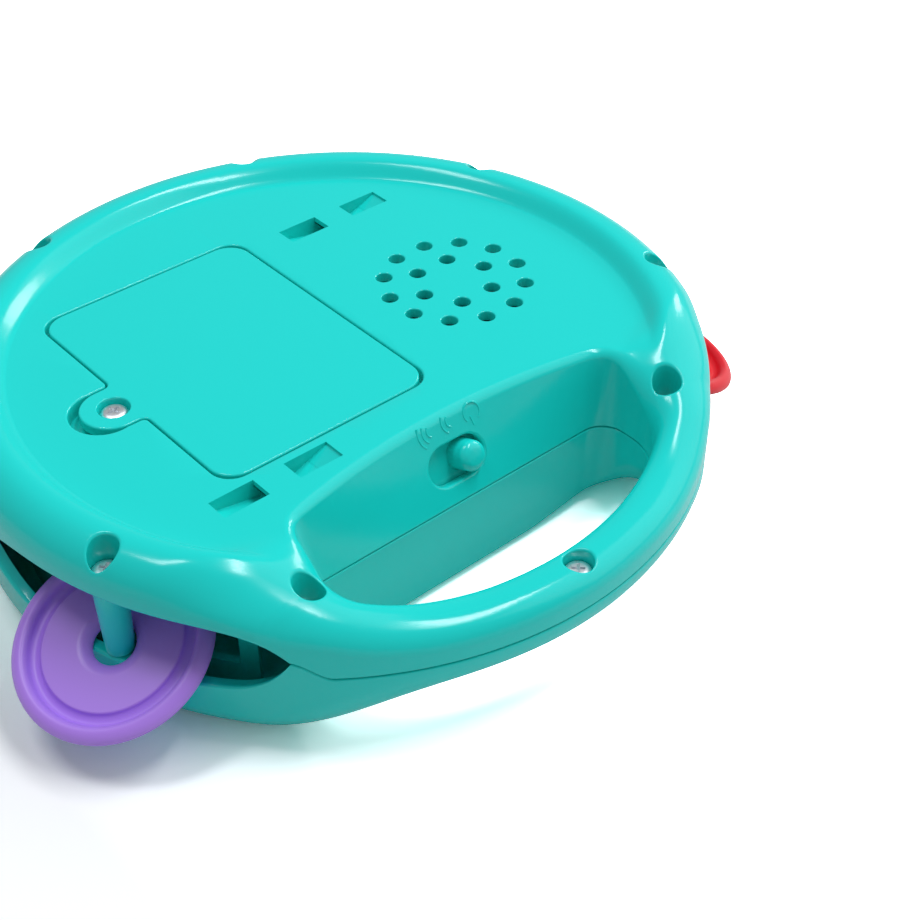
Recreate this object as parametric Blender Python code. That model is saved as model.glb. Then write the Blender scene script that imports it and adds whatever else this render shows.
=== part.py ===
"""Toy tambourine for a baby, lying face down with its battery side up.

The body is two moulded shells round a hand opening. Jingle discs ride on the screw posts
in the windows of the rim. Metres, +Z up, the table at zero, the handle towards -Y.
"""
import math

import bmesh
import bpy
from mathutils import Matrix, Vector

for old_object in list(bpy.data.objects):
    bpy.data.objects.remove(old_object, do_unlink=True)

# Driving sizes of the body
BODY_RADIUS = 0.0768
PLATE_INSET = 0.0129
PLATE_RADIUS = BODY_RADIUS - PLATE_INSET
PLATE_HEIGHT = 0.0372
FRONT_FACE_HEIGHT = 0.0012
WALL = 0.0022
GAP = 0.0003
OVERRUN = 0.002
MIDDLE_SHIFT = -0.0049

# Rim of the back shell
RIM_RISE = 0.0033
RIM_ROUND = 0.0072
RISE_POWER_SHARE = 1.5
FOOT_PLACE_SHARE = 0.3

# Handle: the crest falls towards the bar, and its inner side turns from a wall into a tube
OPENING_CHORD = 0.0398
HANDLE_SCREW_INSET = 0.0051
HANDLE_SCREW_REACH = BODY_RADIUS - HANDLE_SCREW_INSET
HANDLE_FALL = 0.01305
FALL_BEFORE_CHORD = 0.0033
FALL_START = OPENING_CHORD - FALL_BEFORE_CHORD
FALL_END_INSET = 0.0098
FALL_END = BODY_RADIUS - FALL_END_INSET
RISE_FADE = 0.0045
HANDLE_END_DEPTH = 0.0076
HANDLE_BAR_DEPTH = 0.0048
BAR_WIDTH = 0.0102
BAR_INNER_RADIUS = BODY_RADIUS - BAR_WIDTH
BAR_ROUND = 0.0043
BAR_BOTTOM_LIFT = 0.0117
BAR_LIFT_PAST_CHORD = 0.0067
BAR_LIFT_START = OPENING_CHORD + BAR_LIFT_PAST_CHORD
BAR_LIFT_END_INSET = 0.0063
BAR_LIFT_END = BODY_RADIUS - BAR_LIFT_END_INSET
INNER_LIFT_REACH = 0.0140
BAR_LOW_PAST_CHORD = 0.0037
BAR_LOW_START = OPENING_CHORD + BAR_LOW_PAST_CHORD
BAR_LOW_END_INSET = 0.0123
BAR_LOW_END = BODY_RADIUS - BAR_LOW_END_INSET
BAR_LOW_ROUND = 0.0066
BAR_LOW_OUT = 0.0055
BAR_LOW_IN = 0.0042

# Hand opening: a straight side towards the plate, two ends and the bar's inner arc
OPENING_HALF_WIDTH = 0.0388
OPENING_CORNER = 0.0053
OPENING_BAR_CORNER = 0.0112
OPENING_LEAN = 0.0072
OPENING_END_LEAN = 0.0015
OPENING_END_SPREAD = 0.0012
OPENING_CENTRE = (OPENING_CHORD + BAR_INNER_RADIUS) / 2
OPENING_EDGE_ROUND = 0.0016
OPENING_END_BLEND = 0.0075
OPENING_LOW_ROUND = 0.001
LEAST_LOW_SHARE = 0.8

# Where these forms begin and end round the opening, by how far a section heads towards the plate
OUT_ROUND_SHARES = (-0.16, 0.14)
TUBE_SHARES = (0.10, 0.34)
BAR_SHARES = (-0.5, 0.0)
INNER_LIFT_SHARES = (-0.30, 0.62)
TUBE_POWER_SHARES = (2.0, 3.0)
TUBE_EDGE_SHARES = (0.2, 0.4)

# Seam between the shells
SEAM_DROP = 0.01305
HANDLE_SEAM_DROP = 0.01695
SEAM_STEP_PAST_CHORD = 0.0075
SEAM_STEP_LENGTH = 0.0060
SEAM_STEP_IN = OPENING_CHORD + SEAM_STEP_PAST_CHORD
SEAM_STEP_OUT = SEAM_STEP_IN + SEAM_STEP_LENGTH

# Front shell
FRONT_ROUND = 0.0082
FRONT_DRAFT_SHARE = 0.12

# Windows of the rim, by their middle and half widths in degrees
WINDOW_END = 26.3
SIDE_JINGLE_ANGLE = -20.0
POST_STEP = 44.0
WINDOW_RISE = 0.00645
WINDOW_DEPTH = 0.0087
WINDOW_POWER_SHARE = 5.5
WINDOW_EDGE = 0.0014

# Screw wells and posts
POST_INSET = 0.00375
POST_CIRCLE = BODY_RADIUS - POST_INSET
WELL_RADIUS = 0.0029
WELL_WALL = 0.0008
RIM_SEAT_DROP = 0.0038
PILLAR_SEAT_DROP = 0.009
END_WELL_PAST_OPENING = 0.0058
END_WELL_X = OPENING_HALF_WIDTH + END_WELL_PAST_OPENING
END_WELL_PAST_CHORD = 0.0110
END_WELL_Y = OPENING_CHORD + END_WELL_PAST_CHORD
END_SEAT_DROP = 0.0118
BAR_SEAT_DROP = 0.0136
SEAT_THICKNESS = 0.0016
POST_TOP_RADIUS = 0.0032
POST_FOOT_RADIUS = 0.0027
POST_FOOT_DROP = 0.0218
SCREW_RADIUS = 0.0013
SCREW_HOLE_RADIUS = 0.0017
SCREW_HEAD_RADIUS = 0.0026
SCREW_HEAD_HEIGHT = 0.0015
SCREW_RIM_SHARE = 0.5
SCREW_CROWN_SHARE = 0.6
SCREW_CROSS_WIDTH = 0.0006
SCREW_CROSS_LENGTH = 0.0026
SCREW_CROSS_DEPTH = 0.0008
SHORT_SCREW = 0.0095
LONG_SCREW = 0.0265
BAR_SCREW = 0.0062

# Inner ring wall behind the windows
RING_WALL_INSET = 0.0100
RING_WALL_RADIUS = BODY_RADIUS - RING_WALL_INSET
RING_WALL_THICKNESS = 0.0015
RING_WALL_DROP = 0.0042
RING_NOTCH_DROP = 0.0245
RING_NOTCH_HALF = 17.0
RING_END_ANGLE = 40.0

# Jingles
JINGLE_RADIUS = 0.0193
JINGLE_HOLE = 0.0042
JINGLE_WEB_UP = 0.0007
JINGLE_WEB_DOWN = 0.0005
JINGLE_BEAD_UP = 0.0017
JINGLE_BEAD_DOWN = 0.0009
JINGLE_BEAD_WIDTH = 0.0038
JINGLE_GROOVE_WIDTH = 0.0021
JINGLE_GROOVE_DEPTH = 0.0010
JINGLE_DISH_WIDTH = 0.0010
JINGLE_DISH_DEPTH = 0.0005
JINGLE_TILT = 22.0
JINGLE_SHIFT_OUT = 0.0006
JINGLE_SHIFT_SIDE = 0.0004
JINGLE_UNDER_SEAM = 0.00705
JINGLE_HEIGHT = PLATE_HEIGHT - SEAM_DROP - JINGLE_UNDER_SEAM

# Battery bay and door
DOOR_X = -0.0172
DOOR_Y = 0.0106
DOOR_WIDTH = 0.0485
CELL_LENGTH = 0.0490
DOOR_PAST_CELLS = 0.0170
DOOR_LENGTH = CELL_LENGTH + DOOR_PAST_CELLS
DOOR_CORNER = 0.0052
RECESS_CORNER = 0.0042
DOOR_GAP = 0.0004
DOOR_THICKNESS = 0.0020
DOOR_TAB_X = -0.0451
DOOR_TAB_Y = 0.0102
DOOR_TAB_RADIUS = 0.0063
DOOR_SCREW_X = -0.0447
DOOR_SCREW_DEPTH = 0.0023
DOOR_HEAD_MARGIN = 0.0006
DOOR_TAB_BOSS_RADIUS = 0.0041
DOOR_TAB_BOSS_DEPTH = 0.0031
FINGER_DISH_SHIFT = 0.0019
FINGER_DISH_RADIUS = 0.0067
FINGER_DISH_DEPTH = 0.0034
FINGER_DISH_WALL = 0.0014
DOOR_BOSS_RADIUS = 0.0033
DOOR_LEDGE = 0.0019
DOOR_END_LEDGE = 0.0035
BAY_DEPTH = 0.0178
BAY_WALL = 0.0016
BAY_FRAME_DEPTH = 0.0046
CELL_RADIUS = 0.0071
CELL_STEP = 0.0147
CELL_NUB_RADIUS = 0.0027
CELL_NUB_LENGTH = 0.0013
CELL_TOP_DROP = 0.0032
CONTACT_THICKNESS = 0.0004
CONTACT_HALF_WIDTH = 0.0042
SPRING_WIRE = 0.0003
SPRING_TURNS = 3

# Tie passages moulded in the back plate
TIE_SLOT_LENGTH = 0.0098
TIE_SLOT_WIDTH = 0.0052
TIE_BRIDGE = 0.0069
TIE_DEPTH = 0.0042
TIE_START_DEPTH = 0.0022
TIE_END_DEPTH = 0.0006
TIE_ROOF = 0.0014
TIE_BLOCK_WALL = 0.0014
LOW_TIE_X = -0.0471
LOW_TIE_Y = -0.0275
HIGH_TIE_X = 0.0167
HIGH_TIE_Y = 0.0376

# Loudspeaker behind its ring of holes
SPEAKER_X = 0.0333
SPEAKER_Y = 0.0004
SPEAKER_HOLE_RADIUS = 0.00175
SPEAKER_OUTER_RING = 0.0150
SPEAKER_OUTER_HOLES = 12
SPEAKER_OUTER_TURN = 15.0
SPEAKER_INNER_RING = 0.0083
SPEAKER_INNER_HOLES = 6
SPEAKER_RADIUS = 0.0180
SPEAKER_FLANGE = 0.0015
SPEAKER_DEPTH = 0.0090
SPEAKER_MAGNET_RADIUS = 0.0085
SPEAKER_MAGNET_DEPTH = 0.0042
SPEAKER_COLLAR = 0.0014
SPEAKER_CONE_SHARE = 0.45

# Slide switch in the wall above the hand opening
SWITCH_X = 0.0016
SWITCH_DROP = 0.0094
SWITCH_SLOT_RADIUS = 0.0041
SWITCH_TRAVEL = 0.0054
SWITCH_KNOB_RADIUS = 0.0032
SWITCH_KNOB_HEIGHT = 0.0028
SWITCH_KNOB_ROUND = 0.0013
SWITCH_DOME_SHARES = (0.25, 0.6, 0.35)
SWITCH_PLATE_THICKNESS = 0.0010
SWITCH_PLATE_MARGIN = 0.0009
SWITCH_BODY_LENGTH = 0.0100
SWITCH_BODY_WIDTH = 0.0048
SWITCH_BODY_DEPTH = 0.0040
SWITCH_LEVER = 0.0016
SWITCH_BOARD_LENGTH = 0.0320
SWITCH_BOARD_WIDTH = 0.0080
SWITCH_BOARD_THICKNESS = 0.0010
SWITCH_RIB = 0.0016

# Drum pad, its trim ring, tray and springs on the front
DRUM_Y = 0.0135
DRUM_HOLE_RADIUS = 0.0430
PAD_RECESS = 0.0004
PAD_THICKNESS = 0.0020
PAD_FLANGE = 0.0024
PAD_TRAVEL = 0.0012
RING_INNER_MARGIN = 0.0010
RING_WIDTH = 0.0050
TRAY_HEIGHT = 0.0112
TRAY_THICKNESS = 0.0018
TRAY_SKIRT = 0.0017
TRAY_SCREW_CIRCLE = 0.0510
TRAY_SCREW_ANGLE = 35.0
TRAY_BOSS_RADIUS = 0.0027
TRAY_SCREW_LENGTH = 0.0050
PAD_SPRING_CIRCLE = 0.0360
PAD_SPRING_RADIUS = 0.0028
BOARD_RADIUS = 0.0280
BOARD_THICKNESS = 0.0014
KEY_SIZE = 0.0060
KEY_DEPTH = 0.0026
KEY_STEM_RADIUS = 0.0016
LED_CIRCLE = 0.0200
LED_TURN = 30.0
LED_RADIUS = 0.0025
LED_DOME_SHARES = (0.5, 0.87)
CHIP_RADIUS = 0.0050
CHIP_HEIGHT = 0.0012
CHIP_DOME_SHARES = (0.5, 0.85, 0.6)

# Facets round each kind of round piece
BODY_FACETS = 52
OUTER_STEPS = (4, 3)
INNER_STEPS = (2, 2)
ROUND_FACETS = 12
HOLE_FACETS = 8
JINGLE_FACETS = 26
SCREW_FACETS = 8
DRUM_FACETS = 40
SPEAKER_FACETS = 20
SPRING_POINTS = 8
BOARD_FACETS = 32
RING_WALL_FACETS = 60
OPENING_SIDE_FACETS = 6
OPENING_CORNER_FACETS = 5
OPENING_BAR_FACETS = 12
CORNER_PULL_SHARE = 0.55
TINY_SHARE = 1e-6

FRONT_TOP = FRONT_FACE_HEIGHT + WALL
ENVELOPE_ENDS = {"back_section": FRONT_TOP, "front_section": PLATE_HEIGHT}
CASE_WELLS = []


# Finishes

def make_material(name, colour, roughness, metallic):
    material = bpy.data.materials.new(name)
    material.use_nodes = True
    shader = material.node_tree.nodes["Principled BSDF"]
    shader.inputs["Base Color"].default_value = (*colour, 1.0)
    shader.inputs["Roughness"].default_value = roughness
    shader.inputs["Metallic"].default_value = metallic
    return material


FINISHES = {
    "teal": ((0.027, 0.720, 0.700), 0.28, 0.0),
    "purple": ((0.400, 0.235, 0.800), 0.35, 0.0),
    "red": ((0.860, 0.020, 0.060), 0.35, 0.0),
    "yellow": ((0.950, 0.640, 0.030), 0.35, 0.0),
    "orange": ((0.950, 0.260, 0.030), 0.35, 0.0),
    "zinc": ((0.740, 0.760, 0.790), 0.25, 1.0),
    "white": ((0.860, 0.850, 0.820), 0.45, 0.0),
    "board": ((0.030, 0.260, 0.090), 0.50, 0.0),
    "black": ((0.020, 0.020, 0.022), 0.50, 0.0),
    "nickel": ((0.700, 0.680, 0.640), 0.30, 1.0),
    "cell": ((0.080, 0.085, 0.100), 0.35, 0.0),
}
MATERIALS = {name: make_material(name, *values) for name, values in FINISHES.items()}


# Small helpers

def mix(first, second, share):
    return first + (second - first) * share


def blend(low, high, value):
    """Smooth step from 0 at low to 1 at high."""
    share = min(1.0, max(0.0, (value - low) / (high - low)))
    return share * share * (3.0 - 2.0 * share)


def corner_curve(start, corner, end, steps):
    """Points of a rounded corner after its start, ending at its end."""
    first = mix(start, corner, CORNER_PULL_SHARE)
    second = mix(end, corner, CORNER_PULL_SHARE)
    points = []
    for step in range(1, steps + 1):
        t = step / steps
        points.append(start * (1 - t) ** 3 + first * (3 * t * (1 - t) ** 2)
                      + second * (3 * t * t * (1 - t)) + end * t ** 3)
    return points


def arc_points(centre, radius, start, end, steps):
    """Plan points along an arc, angles in radians."""
    return [centre + radius * Vector((math.cos(mix(start, end, k / steps)),
                                      math.sin(mix(start, end, k / steps))))
            for k in range(steps + 1)]


def finish_object(name, mesh_data, finish, sharp_degrees=32.0):
    mesh = bpy.data.meshes.new(name)
    bmesh.ops.recalc_face_normals(mesh_data, faces=mesh_data.faces[:])
    mesh_data.to_mesh(mesh)
    mesh_data.free()
    mesh.shade_smooth()
    mesh.set_sharp_from_angle(angle=math.radians(sharp_degrees))
    mesh.materials.append(MATERIALS[finish])
    piece = bpy.data.objects.new(name, mesh)
    bpy.context.scene.collection.objects.link(piece)
    return piece


def rings_mesh(rings, capped, looped=False, mesh_data=None):
    """Closed skin through rings of equally many points."""
    mesh_data = mesh_data or bmesh.new()
    rows = [[mesh_data.verts.new(point) for point in ring] for ring in rings]
    pairs = list(zip(rows, rows[1:]))
    if looped:
        pairs.append((rows[-1], rows[0]))
    for row, following in pairs:
        for k in range(len(row)):
            after = (k + 1) % len(row)
            mesh_data.faces.new((row[k], row[after], following[after], following[k]))
    if capped:
        mesh_data.faces.new(rows[0][::-1])
        mesh_data.faces.new(rows[-1])
    return mesh_data


def circle(radius, z, facets, centre=Vector((0.0, 0.0))):
    turn = 2.0 * math.pi / facets
    return [Vector((centre.x + radius * math.cos(turn * k), centre.y + radius * math.sin(turn * k), z))
            for k in range(facets)]


def turned_rings(profile, facets, centre=Vector((0.0, 0.0))):
    return [circle(radius, z, facets, centre) for radius, z in profile]


def turned_solid(profile, facets, mesh_data=None, centre=Vector((0.0, 0.0))):
    """Solid of revolution from a profile given bottom to top, capped at both ends."""
    return rings_mesh(turned_rings(profile, facets, centre), True, mesh_data=mesh_data)


def turned_ring(profile, facets, mesh_data=None, centre=Vector((0.0, 0.0))):
    """Ring of revolution from a closed profile."""
    return rings_mesh(turned_rings(profile, facets, centre), False, True, mesh_data)


def prism(outline, low, high, mesh_data=None):
    """Upright solid over a plan outline."""
    rings = [[Vector((point.x, point.y, z)) for point in outline] for z in (low, high)]
    return rings_mesh(rings, True, mesh_data=mesh_data)


def box_outline(x_low, x_high, y_low, y_high):
    return [Vector((x_low, y_low)), Vector((x_high, y_low)),
            Vector((x_high, y_high)), Vector((x_low, y_high))]


def rounded_outline(x_low, x_high, y_low, y_high, corner, steps=4):
    quarter = math.pi / 2
    centres = (Vector((x_high - corner, y_low + corner)), Vector((x_high - corner, y_high - corner)),
               Vector((x_low + corner, y_high - corner)), Vector((x_low + corner, y_low + corner)))
    outline = []
    for k, centre in enumerate(centres):
        outline += arc_points(centre, corner, quarter * (k - 1), quarter * k, steps)
    return outline


def guide(name, mesh_data):
    """A cutter or an added block, which isn't a piece of its own."""
    piece = finish_object(name, mesh_data, "teal")
    piece.hide_render = True
    piece.display_type = "WIRE"
    return piece


def combine(target, other, operation):
    modifier = target.modifiers.new(other.name, "BOOLEAN")
    modifier.operation = operation
    modifier.solver = "EXACT"
    modifier.object = other


def polar(radius, degrees):
    angle = math.radians(degrees)
    return Vector((radius * math.cos(angle), radius * math.sin(angle)))


# Shape of the shells, worked out along rays from the middle of the hand opening

RAY_START = Vector((0.0, -OPENING_CENTRE))
JINGLE_ANGLES = {
    "jingle_right": SIDE_JINGLE_ANGLE,
    "jingle_top_right": SIDE_JINGLE_ANGLE + 2 * POST_STEP,
    "jingle_top_left": SIDE_JINGLE_ANGLE + 3 * POST_STEP,
    "jingle_left": SIDE_JINGLE_ANGLE + 5 * POST_STEP,
}
PILLAR_ANGLES = (SIDE_JINGLE_ANGLE + POST_STEP, SIDE_JINGLE_ANGLE + 4 * POST_STEP)
WINDOWS = (
    (JINGLE_ANGLES["jingle_right"], WINDOW_END),
    (SIDE_JINGLE_ANGLE + 2.5 * POST_STEP, WINDOW_END + POST_STEP / 2),
    (JINGLE_ANGLES["jingle_left"], WINDOW_END),
)


def crest_and_foot(point):
    """Heights of the rim's crest and of the plate inside it. The crest falls to the handle bar,
    and what it rises over the plate dies away on the way."""
    towards_bar = -point.y * (BODY_RADIUS - RIM_ROUND) / point.length
    fall = HANDLE_FALL * blend(FALL_START, FALL_END, towards_bar)
    crest = PLATE_HEIGHT + RIM_RISE - fall
    return crest, crest - RIM_RISE * (1.0 - blend(0.0, RISE_FADE, fall))


def seam_height(point):
    """The seam, which steps down where the rim becomes the handle."""
    near_handle = 1.0 - blend(SEAM_STEP_IN, SEAM_STEP_OUT, abs(point.x))
    if point.y > 0:
        near_handle = 0.0
    return PLATE_HEIGHT - mix(SEAM_DROP, HANDLE_SEAM_DROP, near_handle)


def window_share(point):
    """How far a window is open at a point of the rim, from 0 to 1."""
    angle = math.degrees(math.atan2(point.y, point.x))
    share = 0.0
    for middle, half in WINDOWS:
        away = abs((angle - middle + 180.0) % 360.0 - 180.0)
        from_tip = (half - away) / WINDOW_END
        if from_tip > 0:
            share = 1.0 - max(0.0, 1.0 - from_tip) ** WINDOW_POWER_SHARE
    return share


def opening_outline(grow, leaning):
    """The hand opening, pushed outwards by grow; leaning gives its wider top edge."""
    half = OPENING_HALF_WIDTH + grow + (OPENING_END_SPREAD if leaning else 0.0)
    corner = OPENING_CORNER + grow
    bar_corner = OPENING_BAR_CORNER + grow
    bar_radius = BAR_INNER_RADIUS + grow
    lean = OPENING_LEAN if leaning else 0.0
    end_lean = OPENING_END_LEAN if leaning else 0.0
    slope = math.atan(2 * (lean - end_lean) * (half - corner) / half ** 2)
    reach = half - corner * (1 - math.sin(slope))

    def side(x):
        return -OPENING_CHORD + grow + mix(end_lean, lean, 1 - (x / half) ** 2)

    low_x = half - bar_corner
    low_y = -math.sqrt((bar_radius - bar_corner) ** 2 - low_x ** 2)
    tangent = math.atan2(low_y, low_x)
    corner_centre = Vector((reach, side(reach))) - corner * Vector((math.sin(slope), math.cos(slope)))
    places = [reach * k / OPENING_SIDE_FACETS for k in range(OPENING_SIDE_FACETS)]
    right = [Vector((x, side(x))) for x in places]
    right += arc_points(corner_centre, corner, math.pi / 2 - slope, 0.0, OPENING_CORNER_FACETS)
    right += arc_points(Vector((low_x, low_y)), bar_corner, 0.0, tangent, OPENING_SIDE_FACETS)
    right += [polar(bar_radius, mix(math.degrees(tangent), -90.0, k / OPENING_BAR_FACETS))
              for k in range(1, OPENING_BAR_FACETS + 1)]
    left = [Vector((-point.x, point.y)) for point in right[1:-1]]
    return right + left[::-1]


def outline_reach(outline, heading):
    """Distance from the middle of the opening to its outline along a heading."""
    best = 0.0
    for start, end in zip(outline, outline[1:] + outline[:1]):
        span = end - start
        across = heading.x * span.y - heading.y * span.x
        if abs(across) < TINY_SHARE * span.length:
            continue
        offset = start - RAY_START
        reach = (offset.x * span.y - offset.y * span.x) / across
        along = (offset.x * heading.y - offset.y * heading.x) / across
        if reach > 0 and -TINY_SHARE <= along <= 1 + TINY_SHARE:
            best = max(best, reach)
    return best


class Ray:
    """One section of the shells, from the hand opening out to the rim."""

    def __init__(self, heading):
        self.heading = heading
        self.rim_point = self.plan(self.rim(BODY_RADIUS))
        self.out_round = mix(BAR_ROUND, RIM_ROUND, blend(*OUT_ROUND_SHARES, heading.y))
        self.tube_share = 1.0 - blend(*TUBE_SHARES, heading.y)
        bar_share = 1.0 - blend(*BAR_SHARES, heading.y)
        self.tube_depth = mix(HANDLE_END_DEPTH, HANDLE_BAR_DEPTH, bar_share)
        self.tube_power = mix(*TUBE_POWER_SHARES, bar_share)

    def plan(self, reach):
        return RAY_START + reach * self.heading

    def place(self, reach, z):
        point = self.plan(reach)
        return Vector((point.x, point.y, z))

    def rim(self, radius):
        half = RAY_START.dot(self.heading)
        return -half + math.sqrt(half ** 2 - RAY_START.length_squared + radius ** 2)

    def opening(self, grow, leaning):
        return outline_reach(opening_outline(grow, leaning), self.heading)

    def inner_fall(self, part):
        """How far the handle's round has fallen at a part of its way inwards, and how steeply."""
        height = (1.0 - part ** self.tube_power) ** (1.0 / self.tube_power)
        steepness = self.tube_depth * (part / height) ** (self.tube_power - 1.0)
        return self.tube_depth * (1.0 - height), steepness


def back_section(ray, inset, round_steps, fall_steps):
    """Outer (inset 0) or inner skin of the back shell along one ray. Inside the crest it is a
    plate with a small edge, or the handle's round, or between the two."""
    crest_reach = ray.rim(BODY_RADIUS - ray.out_round)
    edge_top = ray.opening(0.0, True)
    width = crest_reach - edge_top
    plate_inner = ray.opening(max(OPENING_EDGE_ROUND, inset + OPENING_LOW_ROUND), True)
    tube_inner = edge_top + width * mix(*TUBE_EDGE_SHARES, inset / WALL)
    inner_reach = mix(plate_inner, tube_inner, ray.tube_share)
    foot_reach = max(ray.rim(PLATE_RADIUS), mix(inner_reach, crest_reach, FOOT_PLACE_SHARE))
    crest, foot = crest_and_foot(ray.plan(crest_reach))
    wall_reach = ray.rim(BODY_RADIUS - inset)
    lower_edge = seam_height(ray.rim_point) + GAP / 2 + WINDOW_RISE * window_share(ray.rim_point)
    shoulder = ray.place(wall_reach, max(crest - ray.out_round, lower_edge + WINDOW_EDGE))
    points = [ray.place(wall_reach, lower_edge), shoulder]
    points += corner_curve(shoulder, ray.place(wall_reach, crest - inset),
                           ray.place(crest_reach, crest - inset), round_steps)
    shares = [step / fall_steps for step in range(1, fall_steps + 1)]
    reaches = [mix(crest_reach, foot_reach, share) for share in shares]
    reaches += [mix(inner_reach, foot_reach, (1 - share) ** 2) for share in shares]
    for reach in reaches:
        past = min(1.0, (crest_reach - reach) / (crest_reach - foot_reach))
        plate = mix(crest, foot, blend(0.0, 1.0, past ** RISE_POWER_SHARE))
        fall, steepness = ray.inner_fall((crest_reach - reach) / width)
        points.append(ray.place(reach, mix(plate, crest - fall, ray.tube_share) - inset))
    edge_height = points[-1].z - ray.tube_share * steepness * (inner_reach - edge_top) / width
    low_reach = ray.opening(inset, False)
    low_height = PLATE_HEIGHT - HANDLE_SEAM_DROP + GAP / 2
    height_share = (edge_height - low_height) / (edge_height + inset - low_height)
    edge_reach = mix(low_reach, ray.opening(inset, True), height_share)
    wall_height = min(mix(edge_height - OPENING_EDGE_ROUND, crest - ray.tube_depth, ray.tube_share),
                      edge_height - OPENING_EDGE_ROUND / 2)
    down_share = min(LEAST_LOW_SHARE, (edge_height - wall_height) / (edge_height - low_height))
    wall_start = ray.place(mix(edge_reach, low_reach, down_share), mix(edge_height, low_height, down_share))
    points += corner_curve(points[-1], ray.place(edge_reach, edge_height), wall_start, round_steps)
    points.append(ray.place(low_reach, low_height))
    return points


def front_level(ray, reach, inner_reach, flat_reach):
    """Height of the front face, which lifts under the handle, first beside the hand opening."""
    lift = blend(BAR_LIFT_START, BAR_LIFT_END, -ray.plan(reach).y)
    inner_lift = max(lift, 1.0 - blend(*INNER_LIFT_SHARES, ray.heading.y))
    away = (reach - inner_reach) / min(INNER_LIFT_REACH, flat_reach - inner_reach)
    return FRONT_FACE_HEIGHT + BAR_BOTTOM_LIFT * mix(inner_lift, lift, blend(0.0, 1.0, away))


def front_section(ray, inset, round_steps, flat_steps):
    """Outer (inset 0) or inner skin of the front shell along one ray."""
    bar_share = blend(BAR_LOW_START, BAR_LOW_END, -ray.rim_point.y)
    edge = ray.plan(ray.opening(0.0, False))
    end_share = blend(OPENING_CHORD, OPENING_CHORD + OPENING_END_BLEND, -edge.y)
    round_side = mix(FRONT_ROUND, BAR_LOW_OUT, bar_share)
    round_up = mix(FRONT_ROUND, BAR_LOW_ROUND, bar_share)
    inner_side = mix(OPENING_LOW_ROUND, BAR_LOW_IN, end_share)
    inner_up = mix(OPENING_LOW_ROUND, BAR_LOW_ROUND, end_share)
    seam = seam_height(ray.rim_point) - GAP / 2
    top_edge = seam - WINDOW_DEPTH * window_share(ray.rim_point)
    lift = blend(BAR_LIFT_START, BAR_LIFT_END, -ray.rim_point.y)
    shoulder_height = FRONT_FACE_HEIGHT + BAR_BOTTOM_LIFT * lift + round_up
    draft = FRONT_DRAFT_SHARE * (1 - bar_share)
    low_wall = ray.rim(BODY_RADIUS - inset - draft * (seam - shoulder_height))
    top_wall = ray.rim(BODY_RADIUS - inset - draft * (seam - top_edge))
    flat_reach = ray.rim(BODY_RADIUS - round_side - draft * (seam - shoulder_height))
    shoulder = ray.place(low_wall, shoulder_height)
    inner_reach = ray.opening(max(inner_side, inset + OPENING_LOW_ROUND), False)
    flat_height = front_level(ray, flat_reach, inner_reach, flat_reach) + inset
    points = [ray.place(top_wall, top_edge), shoulder]
    points += corner_curve(shoulder, ray.place(low_wall, flat_height),
                           ray.place(flat_reach, flat_height), round_steps)
    for step in range(1, flat_steps + 1):
        reach = mix(inner_reach, flat_reach, (1 - step / flat_steps) ** 2)
        points.append(ray.place(reach, front_level(ray, reach, inner_reach, flat_reach) + inset))
    wall_reach = ray.opening(inset, False)
    low_height = points[-1].z
    points += corner_curve(points[-1], ray.place(wall_reach, low_height),
                           ray.place(wall_reach, low_height + max(inner_up - inset, OPENING_LOW_ROUND)),
                           round_steps)
    points.append(ray.place(wall_reach, PLATE_HEIGHT - HANDLE_SEAM_DROP - GAP / 2))
    return points


def section_rays(facets):
    """Rays evenly round the rim, with more where the hand opening turns its corners."""
    least = math.radians(0.8)
    outline = opening_outline(0.0, False)
    corners = [point for point in outline if abs(point.x) > OPENING_HALF_WIDTH - OPENING_BAR_CORNER]
    angles = sorted(math.atan2(*(point - RAY_START).yx) for point in corners[::2])
    for k in range(facets):
        point = polar(BODY_RADIUS, 360.0 * k / facets)
        angle = math.atan2(*(point - RAY_START).yx)
        if min(abs(angle - other) for other in angles) > least:
            angles.append(angle)
    return [Ray(Vector((math.cos(angle), math.sin(angle)))) for angle in sorted(angles)]


def shell_mesh(section):
    """Closed skin of a shell, outer and inner side, as triangles."""
    loops = []
    for ray in section_rays(BODY_FACETS):
        loops.append(section(ray, 0.0, *OUTER_STEPS) + section(ray, WALL, *INNER_STEPS)[::-1])
    mesh_data = rings_mesh(loops, False, True)
    bmesh.ops.triangulate(mesh_data, faces=mesh_data.faces[:])
    return mesh_data


# Wells, posts and screws that hold the shells together

def add_well(screw_name, place, seat, depth, foot, foot_radius):
    """Note one case screw: where it stands, its seat, its length and the foot of its boss."""
    CASE_WELLS.append({"screw": screw_name, "place": place, "seat": seat, "depth": depth,
                       "foot": foot, "foot_radius": foot_radius})


for k, post_angle in enumerate(JINGLE_ANGLES.values()):
    add_well(f"post_screw_{k + 1}", polar(POST_CIRCLE, post_angle), PLATE_HEIGHT - RIM_SEAT_DROP,
             LONG_SCREW, PLATE_HEIGHT - POST_FOOT_DROP, POST_FOOT_RADIUS)
for k, pillar_angle in enumerate(PILLAR_ANGLES):
    add_well(f"rim_screw_{k + 1}", polar(POST_CIRCLE, pillar_angle), PLATE_HEIGHT - PILLAR_SEAT_DROP,
             SHORT_SCREW, PLATE_HEIGHT - SEAM_DROP, WELL_RADIUS + WELL_WALL)
for k, sign in enumerate((1, -1)):
    add_well(f"handle_screw_{k + 1}", Vector((sign * END_WELL_X, -END_WELL_Y)),
             PLATE_HEIGHT - END_SEAT_DROP, SHORT_SCREW, PLATE_HEIGHT - HANDLE_SEAM_DROP,
             WELL_RADIUS + WELL_WALL)
add_well("handle_bar_screw", Vector((0.0, -HANDLE_SCREW_REACH)), PLATE_HEIGHT - BAR_SEAT_DROP,
         BAR_SCREW, PLATE_HEIGHT - HANDLE_SEAM_DROP, WELL_RADIUS + WELL_WALL)


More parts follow.
